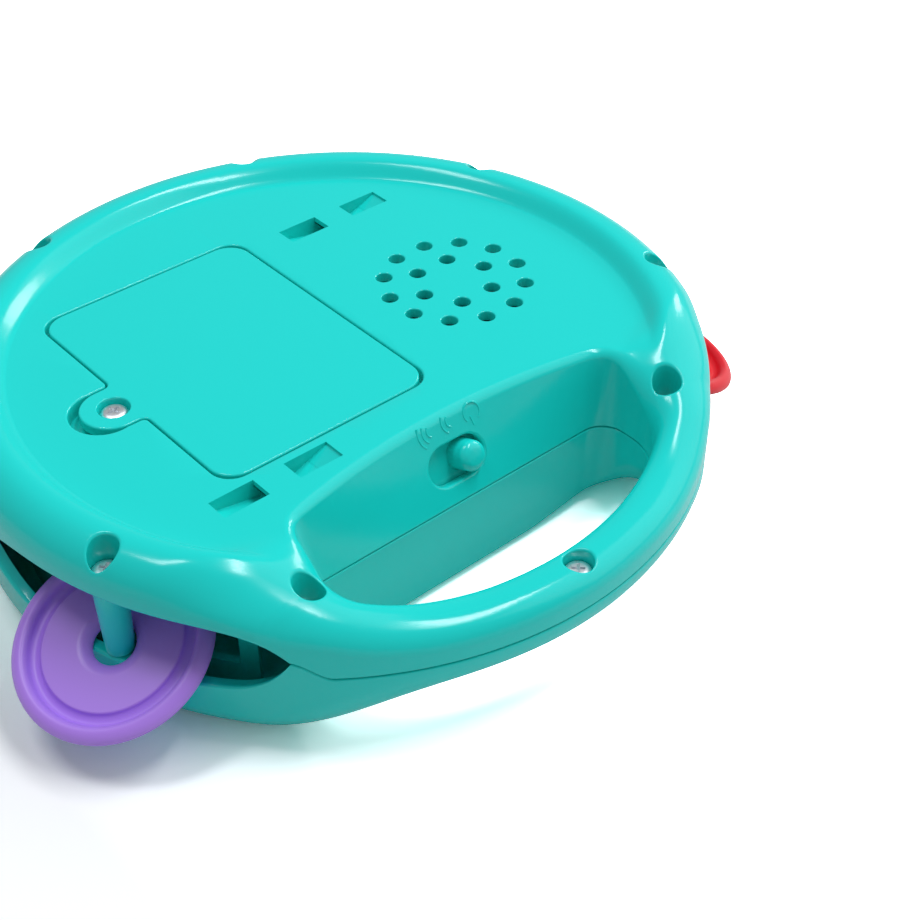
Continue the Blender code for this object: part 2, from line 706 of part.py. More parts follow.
def back_bosses():
    """Tubes round the wells, and the posts that carry the jingles."""
    mesh_data = bmesh.new()
    for well in CASE_WELLS:
        boss = WELL_RADIUS + WELL_WALL
        step = well["seat"] - SEAT_THICKNESS
        foot = well["foot"] + GAP
        top = PLATE_HEIGHT + RIM_RISE
        profile = [(well["foot_radius"], foot)]
        if well["foot_radius"] < boss:
            profile += [(POST_TOP_RADIUS, step), (boss, step)]
        profile.append((boss, top))
        turned_solid(profile, ROUND_FACETS, mesh_data, well["place"])
    return mesh_data


def skin_envelope(section):
    """Solid up to just under the outer skin, which trims the bosses to the shell's shape."""
    loops = []
    for ray in section_rays(BODY_FACETS):
        loop = section(ray, WALL / 3, *OUTER_STEPS)
        for k in (0, -1):
            loop[k] = Vector((loop[k].x, loop[k].y, ENVELOPE_ENDS[section.__name__]))
        loops.append(loop)
    return rings_mesh(loops, False, True)


def trimmed_bosses(name, mesh_data, section):
    bosses = guide(name, mesh_data)
    combine(bosses, guide(name + "_envelope", skin_envelope(section)), "INTERSECT")
    return bosses


def back_wells():
    """What is drilled out of the wells: the head's bore and the screw's clearance hole."""
    mesh_data = bmesh.new()
    for well in CASE_WELLS:
        profile = [(SCREW_HOLE_RADIUS, well["foot"] - OVERRUN), (SCREW_HOLE_RADIUS, well["seat"]),
                   (WELL_RADIUS, well["seat"]), (WELL_RADIUS, PLATE_HEIGHT + RIM_RISE + OVERRUN)]
        turned_solid(profile, ROUND_FACETS, mesh_data, well["place"])
    return mesh_data


def front_bosses():
    mesh_data = bmesh.new()
    for well in CASE_WELLS:
        low = FRONT_FACE_HEIGHT
        turned_solid([(POST_TOP_RADIUS, low), (POST_TOP_RADIUS, well["foot"] - GAP)],
                     ROUND_FACETS, mesh_data, well["place"])
    return mesh_data


def front_pilot_holes():
    mesh_data = bmesh.new()
    for well in CASE_WELLS:
        tip = well["seat"] - well["depth"] - GAP
        turned_solid([(SCREW_HOLE_RADIUS, tip), (SCREW_HOLE_RADIUS, well["foot"] + OVERRUN)],
                     HOLE_FACETS, mesh_data, well["place"])
    return mesh_data


def screw(name, place, seat, length):
    """Pan-head screw with a cross recess, its head's underside half a gap above its seat."""
    under = GAP / 2
    crown = under + SCREW_HEAD_HEIGHT
    piece = finish_object(name, turned_solid([
        (SCREW_RADIUS, -length), (SCREW_RADIUS, under), (SCREW_HEAD_RADIUS, under),
        (SCREW_HEAD_RADIUS, mix(under, crown, SCREW_RIM_SHARE)),
        (SCREW_HEAD_RADIUS * SCREW_CROWN_SHARE, crown)],
        SCREW_FACETS), "zinc")
    piece.location = (place.x, place.y, seat)
    half = SCREW_CROSS_WIDTH / 2
    arm = SCREW_CROSS_LENGTH / 2
    quarter = [Vector((half, half)), Vector((half, arm)), Vector((-half, arm))]
    outline = [Matrix.Rotation(math.pi / 2 * k, 2) @ point for k in range(4) for point in quarter]
    cross = guide(name + "_cross", prism(outline, crown - SCREW_CROSS_DEPTH, crown + OVERRUN))
    cross.parent = piece
    combine(piece, cross, "DIFFERENCE")
    return piece


# Back shell

def door_outline(grow, corner=RECESS_CORNER):
    """Plan of the battery door with its screw tab, pushed outwards by grow."""
    x_low = DOOR_X - DOOR_WIDTH / 2 - grow
    x_high = DOOR_X + DOOR_WIDTH / 2 + grow
    y_low = DOOR_Y - DOOR_LENGTH / 2 - grow
    y_high = DOOR_Y + DOOR_LENGTH / 2 + grow
    outline = rounded_outline(x_low, x_high, y_low, y_high, corner + grow)
    tab = DOOR_TAB_RADIUS + grow
    tab_arc = arc_points(Vector((DOOR_TAB_X, DOOR_TAB_Y)), tab, math.pi / 2, 1.5 * math.pi, 8)
    tab_side = [Vector((x_low, DOOR_TAB_Y + tab))] + tab_arc + [Vector((x_low, DOOR_TAB_Y - tab))]
    last_upper = max(k for k, point in enumerate(outline) if point.y > DOOR_Y and point.x < DOOR_X)
    return outline[:last_upper + 1] + tab_side + outline[last_upper + 1:]


def bay_outline(margin):
    half_x = DOOR_WIDTH / 2 - DOOR_LEDGE + margin
    half_y = DOOR_LENGTH / 2 - DOOR_END_LEDGE + margin
    return box_outline(DOOR_X - half_x, DOOR_X + half_x, DOOR_Y - half_y, DOOR_Y + half_y)


def tie_starts():
    return (Vector((LOW_TIE_X, LOW_TIE_Y)), Vector((HIGH_TIE_X, HIGH_TIE_Y)))


def tie_blocks():
    mesh_data = bmesh.new()
    length = 2 * TIE_SLOT_LENGTH + TIE_BRIDGE
    for start in tie_starts():
        outline = box_outline(start.x - TIE_BLOCK_WALL, start.x + length + TIE_BLOCK_WALL,
                              start.y - TIE_SLOT_WIDTH / 2 - TIE_BLOCK_WALL,
                              start.y + TIE_SLOT_WIDTH / 2 + TIE_BLOCK_WALL)
        prism(outline, PLATE_HEIGHT - TIE_DEPTH - TIE_BLOCK_WALL, PLATE_HEIGHT - WALL / 2, mesh_data)
    return mesh_data


def tie_passages():
    """Channel that dips under each bridge, so that a packing tie can be threaded through."""
    mesh_data = bmesh.new()
    above = PLATE_HEIGHT + OVERRUN
    roof = PLATE_HEIGHT - TIE_ROOF
    floor = PLATE_HEIGHT - TIE_DEPTH
    for start in tie_starts():
        bridge = start.x + TIE_SLOT_LENGTH
        far = bridge + TIE_BRIDGE
        end = far + TIE_SLOT_LENGTH
        side = [(start.x, PLATE_HEIGHT - TIE_START_DEPTH), (bridge, floor), (far, floor),
                (end, PLATE_HEIGHT - TIE_END_DEPTH), (end, above), (far, above), (far, roof),
                (bridge, roof), (bridge, above), (start.x, above)]
        rings = [[Vector((x, start.y + half, z)) for x, z in side]
                 for half in (-TIE_SLOT_WIDTH / 2, TIE_SLOT_WIDTH / 2)]
        rings_mesh(rings, True, mesh_data=mesh_data)
    return mesh_data


def speaker_holes():
    mesh_data = bmesh.new()
    centre = Vector((SPEAKER_X, SPEAKER_Y))
    low = PLATE_HEIGHT - WALL - OVERRUN
    high = PLATE_HEIGHT + OVERRUN
    rings = ((SPEAKER_OUTER_RING, SPEAKER_OUTER_HOLES, SPEAKER_OUTER_TURN),
             (SPEAKER_INNER_RING, SPEAKER_INNER_HOLES, 0.0))
    for ring, count, first in rings:
        for k in range(count):
            place = centre + polar(ring, first + 360.0 * k / count)
            turned_solid([(SPEAKER_HOLE_RADIUS, low), (SPEAKER_HOLE_RADIUS, high)], HOLE_FACETS,
                         mesh_data, place)
    return mesh_data


def speaker_collar():
    """Low wall under the back plate that centres the loudspeaker."""
    inner = SPEAKER_RADIUS + GAP
    outer = inner + SPEAKER_COLLAR
    low = PLATE_HEIGHT - WALL - 2 * SPEAKER_FLANGE
    high = PLATE_HEIGHT - WALL / 2
    return turned_ring([(inner, low), (outer, low), (outer, high), (inner, high)], 2 * ROUND_FACETS,
                       centre=Vector((SPEAKER_X, SPEAKER_Y)))


def switch_frame():
    """Place of the slide switch: X along the wall, Y up it, Z out of it."""
    rise = HANDLE_SEAM_DROP
    lean = mix(OPENING_END_LEAN, OPENING_LEAN, 1 - (SWITCH_X / OPENING_HALF_WIDTH) ** 2)
    tilt = math.atan2(lean, rise)
    y = -OPENING_CHORD + lean * (1 - SWITCH_DROP / rise)
    turn = Matrix.Rotation(math.pi / 2 - tilt, 4, "X")
    return Matrix.Translation((SWITCH_X, y, PLATE_HEIGHT - SWITCH_DROP)) @ turn


SWITCH_FRAME = switch_frame()


def stadium(half_length, radius, steps=6):
    right = arc_points(Vector((half_length, 0.0)), radius, -math.pi / 2, math.pi / 2, steps)
    left = arc_points(Vector((-half_length, 0.0)), radius, math.pi / 2, 1.5 * math.pi, steps)
    return right + left


def switch_ribs():
    """Two ribs behind the wall that carry the switch board."""
    mesh_data = bmesh.new()
    reach = SWITCH_BOARD_LENGTH / 2 - SWITCH_RIB
    deep = -WALL - SWITCH_PLATE_THICKNESS - SWITCH_BODY_DEPTH - 2 * GAP
    for sign in (-1, 1):
        inner, outer = sorted((sign * reach, sign * (reach + SWITCH_RIB)))
        prism(box_outline(inner, outer, -SWITCH_BOARD_WIDTH / 2, SWITCH_BOARD_WIDTH / 2),
              deep, -WALL / 2, mesh_data)
    return mesh_data


def placed_guide(name, mesh_data, frame):
    piece = guide(name, mesh_data)
    piece.matrix_world = frame
    return piece


def make_back_shell():
    shell = finish_object("back_shell", shell_mesh(back_section), "teal")
    frame_low = PLATE_HEIGHT - BAY_FRAME_DEPTH
    frame_high = PLATE_HEIGHT - WALL / 2
    combine(shell, trimmed_bosses("boss_block", back_bosses(), back_section), "UNION")
    combine(shell, guide("door_frame_block", prism(door_outline(WALL), frame_low, frame_high)), "UNION")
    bay_floor = PLATE_HEIGHT - BAY_DEPTH - BAY_WALL
    combine(shell, guide("bay_block", prism(bay_outline(BAY_WALL), bay_floor, frame_high)), "UNION")
    dish_centre = Vector((DOOR_TAB_X - FINGER_DISH_SHIFT, DOOR_TAB_Y))
    dish_outer = FINGER_DISH_RADIUS + FINGER_DISH_WALL
    dish_low = PLATE_HEIGHT - FINGER_DISH_DEPTH
    cup = turned_solid([(dish_outer, dish_low - FINGER_DISH_WALL), (dish_outer, frame_high)],
                       2 * ROUND_FACETS, centre=dish_centre)
    combine(shell, guide("finger_cup_block", cup), "UNION")
    combine(shell, guide("tie_block", tie_blocks()), "UNION")
    combine(shell, guide("speaker_collar_block", speaker_collar()), "UNION")
    combine(shell, placed_guide("switch_rib_block", switch_ribs(), SWITCH_FRAME), "UNION")
    combine(shell, guide("well_cut", back_wells()), "DIFFERENCE")
    above = PLATE_HEIGHT + OVERRUN
    recess = prism(door_outline(DOOR_GAP), PLATE_HEIGHT - DOOR_THICKNESS - GAP, above)
    combine(shell, guide("door_cut", recess), "DIFFERENCE")
    bay = prism(bay_outline(0.0), PLATE_HEIGHT - BAY_DEPTH, above)
    combine(shell, guide("bay_cut", bay), "DIFFERENCE")
    dish = turned_solid([(FINGER_DISH_RADIUS, dish_low), (FINGER_DISH_RADIUS, above)],
                        2 * ROUND_FACETS, centre=dish_centre)
    combine(shell, guide("finger_dish_cut", dish), "DIFFERENCE")
    door_screw_at = Vector((DOOR_SCREW_X, DOOR_TAB_Y))
    boss = turned_solid([(DOOR_BOSS_RADIUS, PLATE_HEIGHT - SEAM_DROP),
                         (DOOR_BOSS_RADIUS, dish_low - FINGER_DISH_WALL / 2)],
                        ROUND_FACETS, centre=door_screw_at)
    combine(shell, guide("door_boss_block", boss), "UNION")
    pilot = turned_solid([(SCREW_HOLE_RADIUS, PLATE_HEIGHT - SEAM_DROP - OVERRUN),
                          (SCREW_HOLE_RADIUS, PLATE_HEIGHT)], HOLE_FACETS, centre=door_screw_at)
    combine(shell, guide("door_pilot_cut", pilot), "DIFFERENCE")
    combine(shell, guide("tie_cut", tie_passages()), "DIFFERENCE")
    combine(shell, guide("speaker_hole_cut", speaker_holes()), "DIFFERENCE")
    slot = prism(stadium(SWITCH_TRAVEL / 2, SWITCH_SLOT_RADIUS), -WALL - OVERRUN, OVERRUN)
    combine(shell, placed_guide("switch_slot_cut", slot, SWITCH_FRAME), "DIFFERENCE")
    return shell


# Front shell

def ring_wall():
    """Wall behind the windows, open where a jingle reaches in."""
    inner = RING_WALL_RADIUS - RING_WALL_THICKNESS
    low = FRONT_FACE_HEIGHT + WALL / 2
    high = PLATE_HEIGHT - RING_WALL_DROP
    sweep = 180.0 + 2 * RING_END_ANGLE
    sections = []
    for k in range(RING_WALL_FACETS + 1):
        angle = -RING_END_ANGLE + sweep * k / RING_WALL_FACETS
        near = polar(inner, angle)
        far = polar(RING_WALL_RADIUS, angle)
        sections.append([Vector((near.x, near.y, low)), Vector((far.x, far.y, low)),
                         Vector((far.x, far.y, high)), Vector((near.x, near.y, high))])
    return rings_mesh(sections, True)


def ring_notches():
    mesh_data = bmesh.new()
    low = PLATE_HEIGHT - RING_NOTCH_DROP
    high = PLATE_HEIGHT + OVERRUN
    far = (RING_WALL_RADIUS + OVERRUN) / math.cos(math.radians(RING_NOTCH_HALF))
    near = RING_WALL_RADIUS - RING_WALL_THICKNESS - OVERRUN
    for angle in JINGLE_ANGLES.values():
        start = angle - RING_NOTCH_HALF
        end = angle + RING_NOTCH_HALF
        outline = [polar(far, start), polar(far, end), polar(near, end), polar(near, start)]
        prism(outline, low, high, mesh_data)
    return mesh_data


def tray_screw_places():
    centre = Vector((0.0, DRUM_Y))
    angles = (TRAY_SCREW_ANGLE, 180.0 - TRAY_SCREW_ANGLE, 180.0 + TRAY_SCREW_ANGLE, -TRAY_SCREW_ANGLE)
    return [centre + polar(TRAY_SCREW_CIRCLE, angle) for angle in angles]


def tray_bosses(radius, low, high, facets):
    mesh_data = bmesh.new()
    for place in tray_screw_places():
        turned_solid([(radius, low), (radius, high)], facets, mesh_data, place)
    return mesh_data


def make_front_shell():
    shell = finish_object("front_shell", shell_mesh(front_section), "teal")
    notched = guide("ring_wall_block", ring_wall())
    combine(notched, guide("ring_notch_cut", ring_notches()), "DIFFERENCE")
    combine(shell, notched, "UNION")
    combine(shell, trimmed_bosses("front_boss_block", front_bosses(), front_section), "UNION")
    low = FRONT_FACE_HEIGHT + WALL / 2
    bosses = tray_bosses(TRAY_BOSS_RADIUS, low, TRAY_HEIGHT - GAP, ROUND_FACETS)
    combine(shell, guide("tray_boss_block", bosses), "UNION")
    combine(shell, guide("front_pilot_cut", front_pilot_holes()), "DIFFERENCE")
    holes = tray_bosses(SCREW_HOLE_RADIUS, TRAY_HEIGHT - TRAY_SCREW_LENGTH - GAP, TRAY_HEIGHT + OVERRUN,
                        HOLE_FACETS)
    combine(shell, guide("tray_pilot_cut", holes), "DIFFERENCE")
    drum = turned_solid([(DRUM_HOLE_RADIUS, FRONT_FACE_HEIGHT - OVERRUN),
                         (DRUM_HOLE_RADIUS, FRONT_TOP + OVERRUN)],
                        DRUM_FACETS, centre=Vector((0.0, DRUM_Y)))
    combine(shell, guide("drum_cut", drum), "DIFFERENCE")
    return shell


# Jingles

def jingle_profile():
    """Closed section of a jingle: dished hole, flat web, groove and rolled edge."""
    web_edge = JINGLE_RADIUS - JINGLE_BEAD_WIDTH - JINGLE_GROOVE_WIDTH
    bead = JINGLE_RADIUS - JINGLE_BEAD_WIDTH
    crown = JINGLE_RADIUS - JINGLE_BEAD_WIDTH / 2
    skin = JINGLE_BEAD_WIDTH / 6
    return [
        (JINGLE_HOLE, -JINGLE_WEB_DOWN),
        (web_edge - skin, -JINGLE_WEB_DOWN),
        (web_edge + skin, -JINGLE_BEAD_DOWN),
        (JINGLE_RADIUS - skin, -JINGLE_BEAD_DOWN),
        (JINGLE_RADIUS, -JINGLE_BEAD_DOWN + skin),
        (JINGLE_RADIUS, JINGLE_BEAD_UP - 2 * skin),
        (JINGLE_RADIUS - skin, JINGLE_BEAD_UP - skin / 2),
        (crown, JINGLE_BEAD_UP),
        (bead + skin, JINGLE_BEAD_UP - skin),
        (bead, JINGLE_WEB_UP - JINGLE_GROOVE_DEPTH),
        (web_edge + skin, JINGLE_WEB_UP - JINGLE_GROOVE_DEPTH),
        (web_edge, JINGLE_WEB_UP),
        (JINGLE_HOLE + JINGLE_DISH_WIDTH, JINGLE_WEB_UP),
        (JINGLE_HOLE, JINGLE_WEB_UP - JINGLE_DISH_DEPTH),
    ]


def make_jingle(name, angle, finish):
    """A jingle on its post, its outer edge hanging over the sill of its window."""
    piece = finish_object(name, turned_ring(jingle_profile(), JINGLE_FACETS), finish)
    outwards = polar(1.0, angle)
    side = polar(1.0, angle + (90.0 if outwards.x > 0 else -90.0))
    centre = (POST_CIRCLE + JINGLE_SHIFT_OUT) * outwards + JINGLE_SHIFT_SIDE * side
    tilt_axis = Vector((-outwards.y, outwards.x, 0.0))
    turn = Matrix.Rotation(math.radians(JINGLE_TILT), 4, tilt_axis)
    piece.matrix_world = Matrix.Translation((centre.x, centre.y, JINGLE_HEIGHT)) @ turn
    return piece


# Battery door, cells and contacts

def make_battery_door():
    """Lid with a round tab. A boss under the tab holds the screw's head below the lid's face."""
    low = PLATE_HEIGHT - DOOR_THICKNESS
    door = finish_object("battery_door", prism(door_outline(0.0, DOOR_CORNER), low, PLATE_HEIGHT), "teal")
    centre = Vector((DOOR_SCREW_X, DOOR_TAB_Y))
    seat = PLATE_HEIGHT - DOOR_SCREW_DEPTH
    boss_low = PLATE_HEIGHT - DOOR_TAB_BOSS_DEPTH
    boss_high = mix(low, PLATE_HEIGHT, 0.5)
    boss = turned_solid([(DOOR_TAB_BOSS_RADIUS, boss_low), (DOOR_TAB_BOSS_RADIUS, boss_high)],
                        2 * ROUND_FACETS, centre=centre)
    combine(door, guide("door_tab_block", boss), "UNION")
    head_bore = SCREW_HEAD_RADIUS + DOOR_HEAD_MARGIN
    bore = turned_solid([(SCREW_HOLE_RADIUS, boss_low - OVERRUN), (SCREW_HOLE_RADIUS, seat),
                         (head_bore, seat), (head_bore, PLATE_HEIGHT + OVERRUN)],
                        2 * ROUND_FACETS, centre=centre)
    combine(door, guide("door_bore_cut", bore), "DIFFERENCE")
    screw("battery_door_screw", centre, seat, SHORT_SCREW)


def cell_places():
    return [DOOR_X + CELL_STEP * k for k in (-1, 0, 1)]


def make_cells():
    height = PLATE_HEIGHT - CELL_TOP_DROP - CELL_RADIUS
    half = (CELL_LENGTH + CELL_NUB_LENGTH) / 2
    profile = [(CELL_RADIUS, -half), (CELL_RADIUS, half - CELL_NUB_LENGTH),
               (CELL_NUB_RADIUS, half - CELL_NUB_LENGTH), (CELL_NUB_RADIUS, half)]
    bay_half = DOOR_LENGTH / 2 - DOOR_END_LEDGE
    spring_room = 2 * (bay_half - half) - CONTACT_THICKNESS - 4 * GAP
    for k, x in enumerate(cell_places()):
        way = 1 if k % 2 == 0 else -1
        cell = finish_object(f"battery_{k + 1}", turned_solid(profile, SPEAKER_FACETS), "cell")
        cell.rotation_euler = (-way * math.pi / 2, 0.0, 0.0)
        cell.location = (x, DOOR_Y + way * (bay_half - half - CONTACT_THICKNESS - 2 * GAP), height)
        outline = box_outline(-CONTACT_HALF_WIDTH, CONTACT_HALF_WIDTH,
                              -CONTACT_THICKNESS / 2, CONTACT_THICKNESS / 2)
        contact = finish_object(f"battery_contact_{k + 1}",
                                prism(outline, -CONTACT_HALF_WIDTH, CONTACT_HALF_WIDTH), "nickel")
        contact.location = (x, DOOR_Y + way * (bay_half - GAP - CONTACT_THICKNESS / 2), height)
        spring = coil(f"battery_spring_{k + 1}", CONTACT_HALF_WIDTH, CELL_NUB_RADIUS / 2,
                      spring_room - 2 * SPRING_WIRE)
        spring.rotation_euler = (-way * math.pi / 2, 0.0, 0.0)
        spring.location = (x, DOOR_Y - way * (bay_half - GAP - SPRING_WIRE), height)


def coil(name, start_radius, end_radius, length):
    """Wound spring along +Z, one tube with filled ends."""
    curve = bpy.data.curves.new(name, "CURVE")
    curve.dimensions = "3D"
    curve.bevel_depth = SPRING_WIRE
    curve.bevel_resolution = 0
    curve.use_fill_caps = True
    count = SPRING_TURNS * SPRING_POINTS
    spline = curve.splines.new("POLY")
    spline.points.add(count)
    for k in range(count + 1):
        share = k / count
        flat = polar(mix(start_radius, end_radius, share), 360.0 * SPRING_TURNS * share)
        spline.points[k].co = (flat.x, flat.y, length * share, 1.0)
    piece = bpy.data.objects.new(name, curve)
    curve.materials.append(MATERIALS["nickel"])
    bpy.context.scene.collection.objects.link(piece)
    return piece


# Loudspeaker

def make_speaker():
    centre = Vector((SPEAKER_X, SPEAKER_Y, PLATE_HEIGHT - WALL - GAP))
    rim = SPEAKER_RADIUS
    shell = SPEAKER_FLANGE / 2
    low = -SPEAKER_DEPTH
    neck = SPEAKER_MAGNET_RADIUS
    frame = finish_object("speaker_frame", turned_ring([
        (rim, 0.0), (rim, -SPEAKER_FLANGE), (rim - SPEAKER_FLANGE, -SPEAKER_FLANGE), (neck + shell, low),
        (neck - 2 * shell, low), (neck - 2 * shell, low + shell), (neck, low + shell),
        (rim - 2 * SPEAKER_FLANGE, -SPEAKER_FLANGE / 2), (rim - 2 * SPEAKER_FLANGE, 0.0)],
        SPEAKER_FACETS), "nickel")
    frame.location = centre
    cone_rim = rim - 2 * SPEAKER_FLANGE - GAP
    cone_low = low + SPEAKER_DEPTH * SPEAKER_CONE_SHARE
    cone = finish_object("speaker_cone", turned_ring([
        (cone_rim, -GAP), (cone_rim, -shell), (neck - shell, cone_low), (shell, cone_low),
        (shell, cone_low + shell), (neck - shell, cone_low + shell)], SPEAKER_FACETS), "black")
    cone.location = centre
    magnet = finish_object("speaker_magnet", turned_solid([
        (SPEAKER_MAGNET_RADIUS, low - GAP - SPEAKER_MAGNET_DEPTH), (SPEAKER_MAGNET_RADIUS, low - GAP)],
        SPEAKER_FACETS), "nickel")
    magnet.location = centre


# Slide switch

def make_switch():
    plate_half = SWITCH_TRAVEL
    plate_radius = SWITCH_SLOT_RADIUS + SWITCH_PLATE_MARGIN
    plate_top_z = -WALL - GAP
    plate_low = plate_top_z - SWITCH_PLATE_THICKNESS
    knob = finish_object("switch_knob", prism(stadium(plate_half, plate_radius), plate_low, plate_top_z),
                         "teal")
    low_in, high_in, high_down = (SWITCH_KNOB_ROUND * share for share in SWITCH_DOME_SHARES)
    dome = turned_solid([
        (SWITCH_KNOB_RADIUS, mix(plate_low, plate_top_z, 0.5)),
        (SWITCH_KNOB_RADIUS - low_in, SWITCH_KNOB_HEIGHT - SWITCH_KNOB_ROUND),
        (SWITCH_KNOB_RADIUS - high_in, SWITCH_KNOB_HEIGHT - high_down),
        (SWITCH_KNOB_RADIUS / 3, SWITCH_KNOB_HEIGHT)], ROUND_FACETS)
    combine(knob, placed_guide("knob_dome_block", dome, switch_place(0.0)), "UNION")
    pocket = SWITCH_LEVER / 2 + GAP
    fork = prism(box_outline(-pocket, pocket, -pocket, pocket), plate_low - OVERRUN, 0.0)
    combine(knob, placed_guide("knob_fork_cut", fork, switch_place(0.0)), "DIFFERENCE")
    knob.matrix_world = switch_place(0.0)
    lever_low = plate_low - GAP
    lever_outline = box_outline(-SWITCH_LEVER / 2, SWITCH_LEVER / 2, -SWITCH_LEVER / 2, SWITCH_LEVER / 2)
    lever = finish_object("switch_lever", prism(lever_outline, lever_low, -2 * GAP), "black")
    lever.matrix_world = switch_place(0.0)
    body_high = lever_low - GAP
    body_low = body_high - SWITCH_BODY_DEPTH + GAP
    body_outline = box_outline(-SWITCH_BODY_LENGTH / 2, SWITCH_BODY_LENGTH / 2,
                               -SWITCH_BODY_WIDTH / 2, SWITCH_BODY_WIDTH / 2)
    body = finish_object("switch_body", prism(body_outline, body_low, body_high), "nickel")
    body.matrix_world = SWITCH_FRAME
    board_high = body_low - GAP
    board_outline = box_outline(-SWITCH_BOARD_LENGTH / 2, SWITCH_BOARD_LENGTH / 2,
                                -SWITCH_BOARD_WIDTH / 2, SWITCH_BOARD_WIDTH / 2)
    board_low = board_high - SWITCH_BOARD_THICKNESS
    board = finish_object("switch_board", prism(board_outline, board_low, board_high), "board")
    board.matrix_world = SWITCH_FRAME


def switch_place(travelled):
    """Frame of the knob, which stands at the right end of its slot when switched off."""
    return SWITCH_FRAME @ Matrix.Translation((SWITCH_TRAVEL / 2 - travelled, 0.0, 0.0))


# Drum pad and what is behind it

def make_drum():
    centre = Vector((0.0, DRUM_Y, 0.0))
    pad_radius = DRUM_HOLE_RADIUS - GAP
    flange_low = FRONT_TOP + GAP
    flange = DRUM_HOLE_RADIUS + PAD_FLANGE
    top = flange_low + PAD_RECESS + WALL / 2
    plate = PAD_RECESS + PAD_THICKNESS
    wall = pad_radius - PAD_THICKNESS
    pad = finish_object("drum_pad", turned_solid([
        (pad_radius - PAD_RECESS, PAD_RECESS), (pad_radius, 2 * PAD_RECESS), (pad_radius, flange_low),
        (flange, flange_low), (flange, top), (wall, top), (wall, plate)], DRUM_FACETS), "white")
    pad.location = centre
    inner = DRUM_HOLE_RADIUS + RING_INNER_MARGIN
    outer = inner + RING_WIDTH
    seat = FRONT_FACE_HEIGHT - GAP
    ring = finish_object("front_ring", turned_ring([
        (inner, 0.0), (outer - seat / 2, 0.0), (outer, seat / 2), (outer, seat), (inner, seat)],
        DRUM_FACETS), "yellow")
    ring.location = centre
    skirt_in = flange + 2 * GAP
    skirt_out = skirt_in + TRAY_SKIRT
    tray_top = TRAY_HEIGHT + TRAY_THICKNESS
    tray = finish_object("drum_tray", turned_solid([
        (skirt_out, FRONT_TOP + GAP), (skirt_out, tray_top)], DRUM_FACETS), "white")
    hollow = turned_solid([(skirt_in, 0.0), (skirt_in, TRAY_HEIGHT)], DRUM_FACETS)
    combine(tray, guide("tray_hollow_cut", hollow), "DIFFERENCE")
    ears = bmesh.new()
    for place in tray_screw_places():
        local = Vector((place.x, place.y - DRUM_Y))
        inward = -local.normalized()
        across = Vector((-inward.y, inward.x)) * TRAY_BOSS_RADIUS
        facing = math.atan2(across.y, across.x)
        root = local + inward * 2 * TRAY_BOSS_RADIUS
        outline = arc_points(local, TRAY_BOSS_RADIUS, facing + math.pi, facing + 2 * math.pi, 6)
        prism(outline + [root + across, root - across], TRAY_HEIGHT, tray_top, ears)
    combine(tray, guide("tray_ear_block", ears), "UNION")
    holes = bmesh.new()
    for place in tray_screw_places():
        turned_solid([(SCREW_HOLE_RADIUS, TRAY_HEIGHT - OVERRUN), (SCREW_HOLE_RADIUS, tray_top + OVERRUN)],
                     HOLE_FACETS, holes, Vector((place.x, place.y - DRUM_Y)))
    combine(tray, guide("tray_hole_cut", holes), "DIFFERENCE")
    for cutter in ("tray_hollow_cut", "tray_ear_block", "tray_hole_cut"):
        bpy.data.objects[cutter].location = centre
    tray.location = centre
    for k, place in enumerate(tray_screw_places()):
        screw(f"tray_screw_{k + 1}", place, tray_top, TRAY_SCREW_LENGTH)
    spring_low = plate + GAP
    room = TRAY_HEIGHT - GAP - spring_low
    for k in range(3):
        place = polar(PAD_SPRING_CIRCLE, 90.0 + 360.0 / 3 * k)
        spring = coil(f"pad_spring_{k + 1}", PAD_SPRING_RADIUS, PAD_SPRING_RADIUS, room - 2 * SPRING_WIRE)
        spring.location = (place.x, place.y + DRUM_Y, spring_low + SPRING_WIRE)
    make_board(centre, plate)


def make_board(centre, pad_back):
    high = TRAY_HEIGHT - GAP
    low = high - BOARD_THICKNESS
    disc = turned_solid([(BOARD_RADIUS, low), (BOARD_RADIUS, high)], BOARD_FACETS)
    board = finish_object("circuit_board", disc, "board")
    board.location = centre
    under = low - GAP
    half = KEY_SIZE / 2
    key_outline = box_outline(-half, half, -half, half)
    key = finish_object("pad_key", prism(key_outline, under - KEY_DEPTH, under), "black")
    key.location = centre
    stem_low = pad_back + PAD_TRAVEL + GAP
    stem = turned_solid([(KEY_STEM_RADIUS, stem_low), (KEY_STEM_RADIUS, under - KEY_DEPTH / 2)],
                        ROUND_FACETS)
    stem_block = guide("key_stem_block", stem)
    stem_block.location = centre
    combine(key, stem_block, "UNION")
    for k in range(3):
        place = polar(LED_CIRCLE, LED_TURN + 360.0 / 3 * k)
        tip, middle = LED_DOME_SHARES
        lamp = finish_object(f"lamp_{k + 1}", turned_solid([
            (LED_RADIUS * tip, under - LED_RADIUS), (LED_RADIUS * middle, under - LED_RADIUS / 2),
            (LED_RADIUS, under)], ROUND_FACETS), "white")
        lamp.location = (place.x, place.y + DRUM_Y, 0.0)
    place = polar(LED_CIRCLE / 2, 270.0)
    tip, middle, middle_down = CHIP_DOME_SHARES
    chip = finish_object("sound_chip", turned_solid([
        (CHIP_RADIUS * tip, under - CHIP_HEIGHT), (CHIP_RADIUS * middle, under - CHIP_HEIGHT * middle_down),
        (CHIP_RADIUS, under)], ROUND_FACETS), "black")
    chip.location = (place.x, place.y + DRUM_Y, 0.0)


make_back_shell()
make_front_shell()
for well in CASE_WELLS:
    screw(well["screw"], well["place"], well["seat"], well["depth"])
for (jingle_name, jingle_angle), jingle_finish in zip(JINGLE_ANGLES.items(),
                                                      ("red", "orange", "yellow", "purple")):
    make_jingle(jingle_name, jingle_angle, jingle_finish)
make_battery_door()
make_cells()
make_speaker()
make_switch()
make_drum()

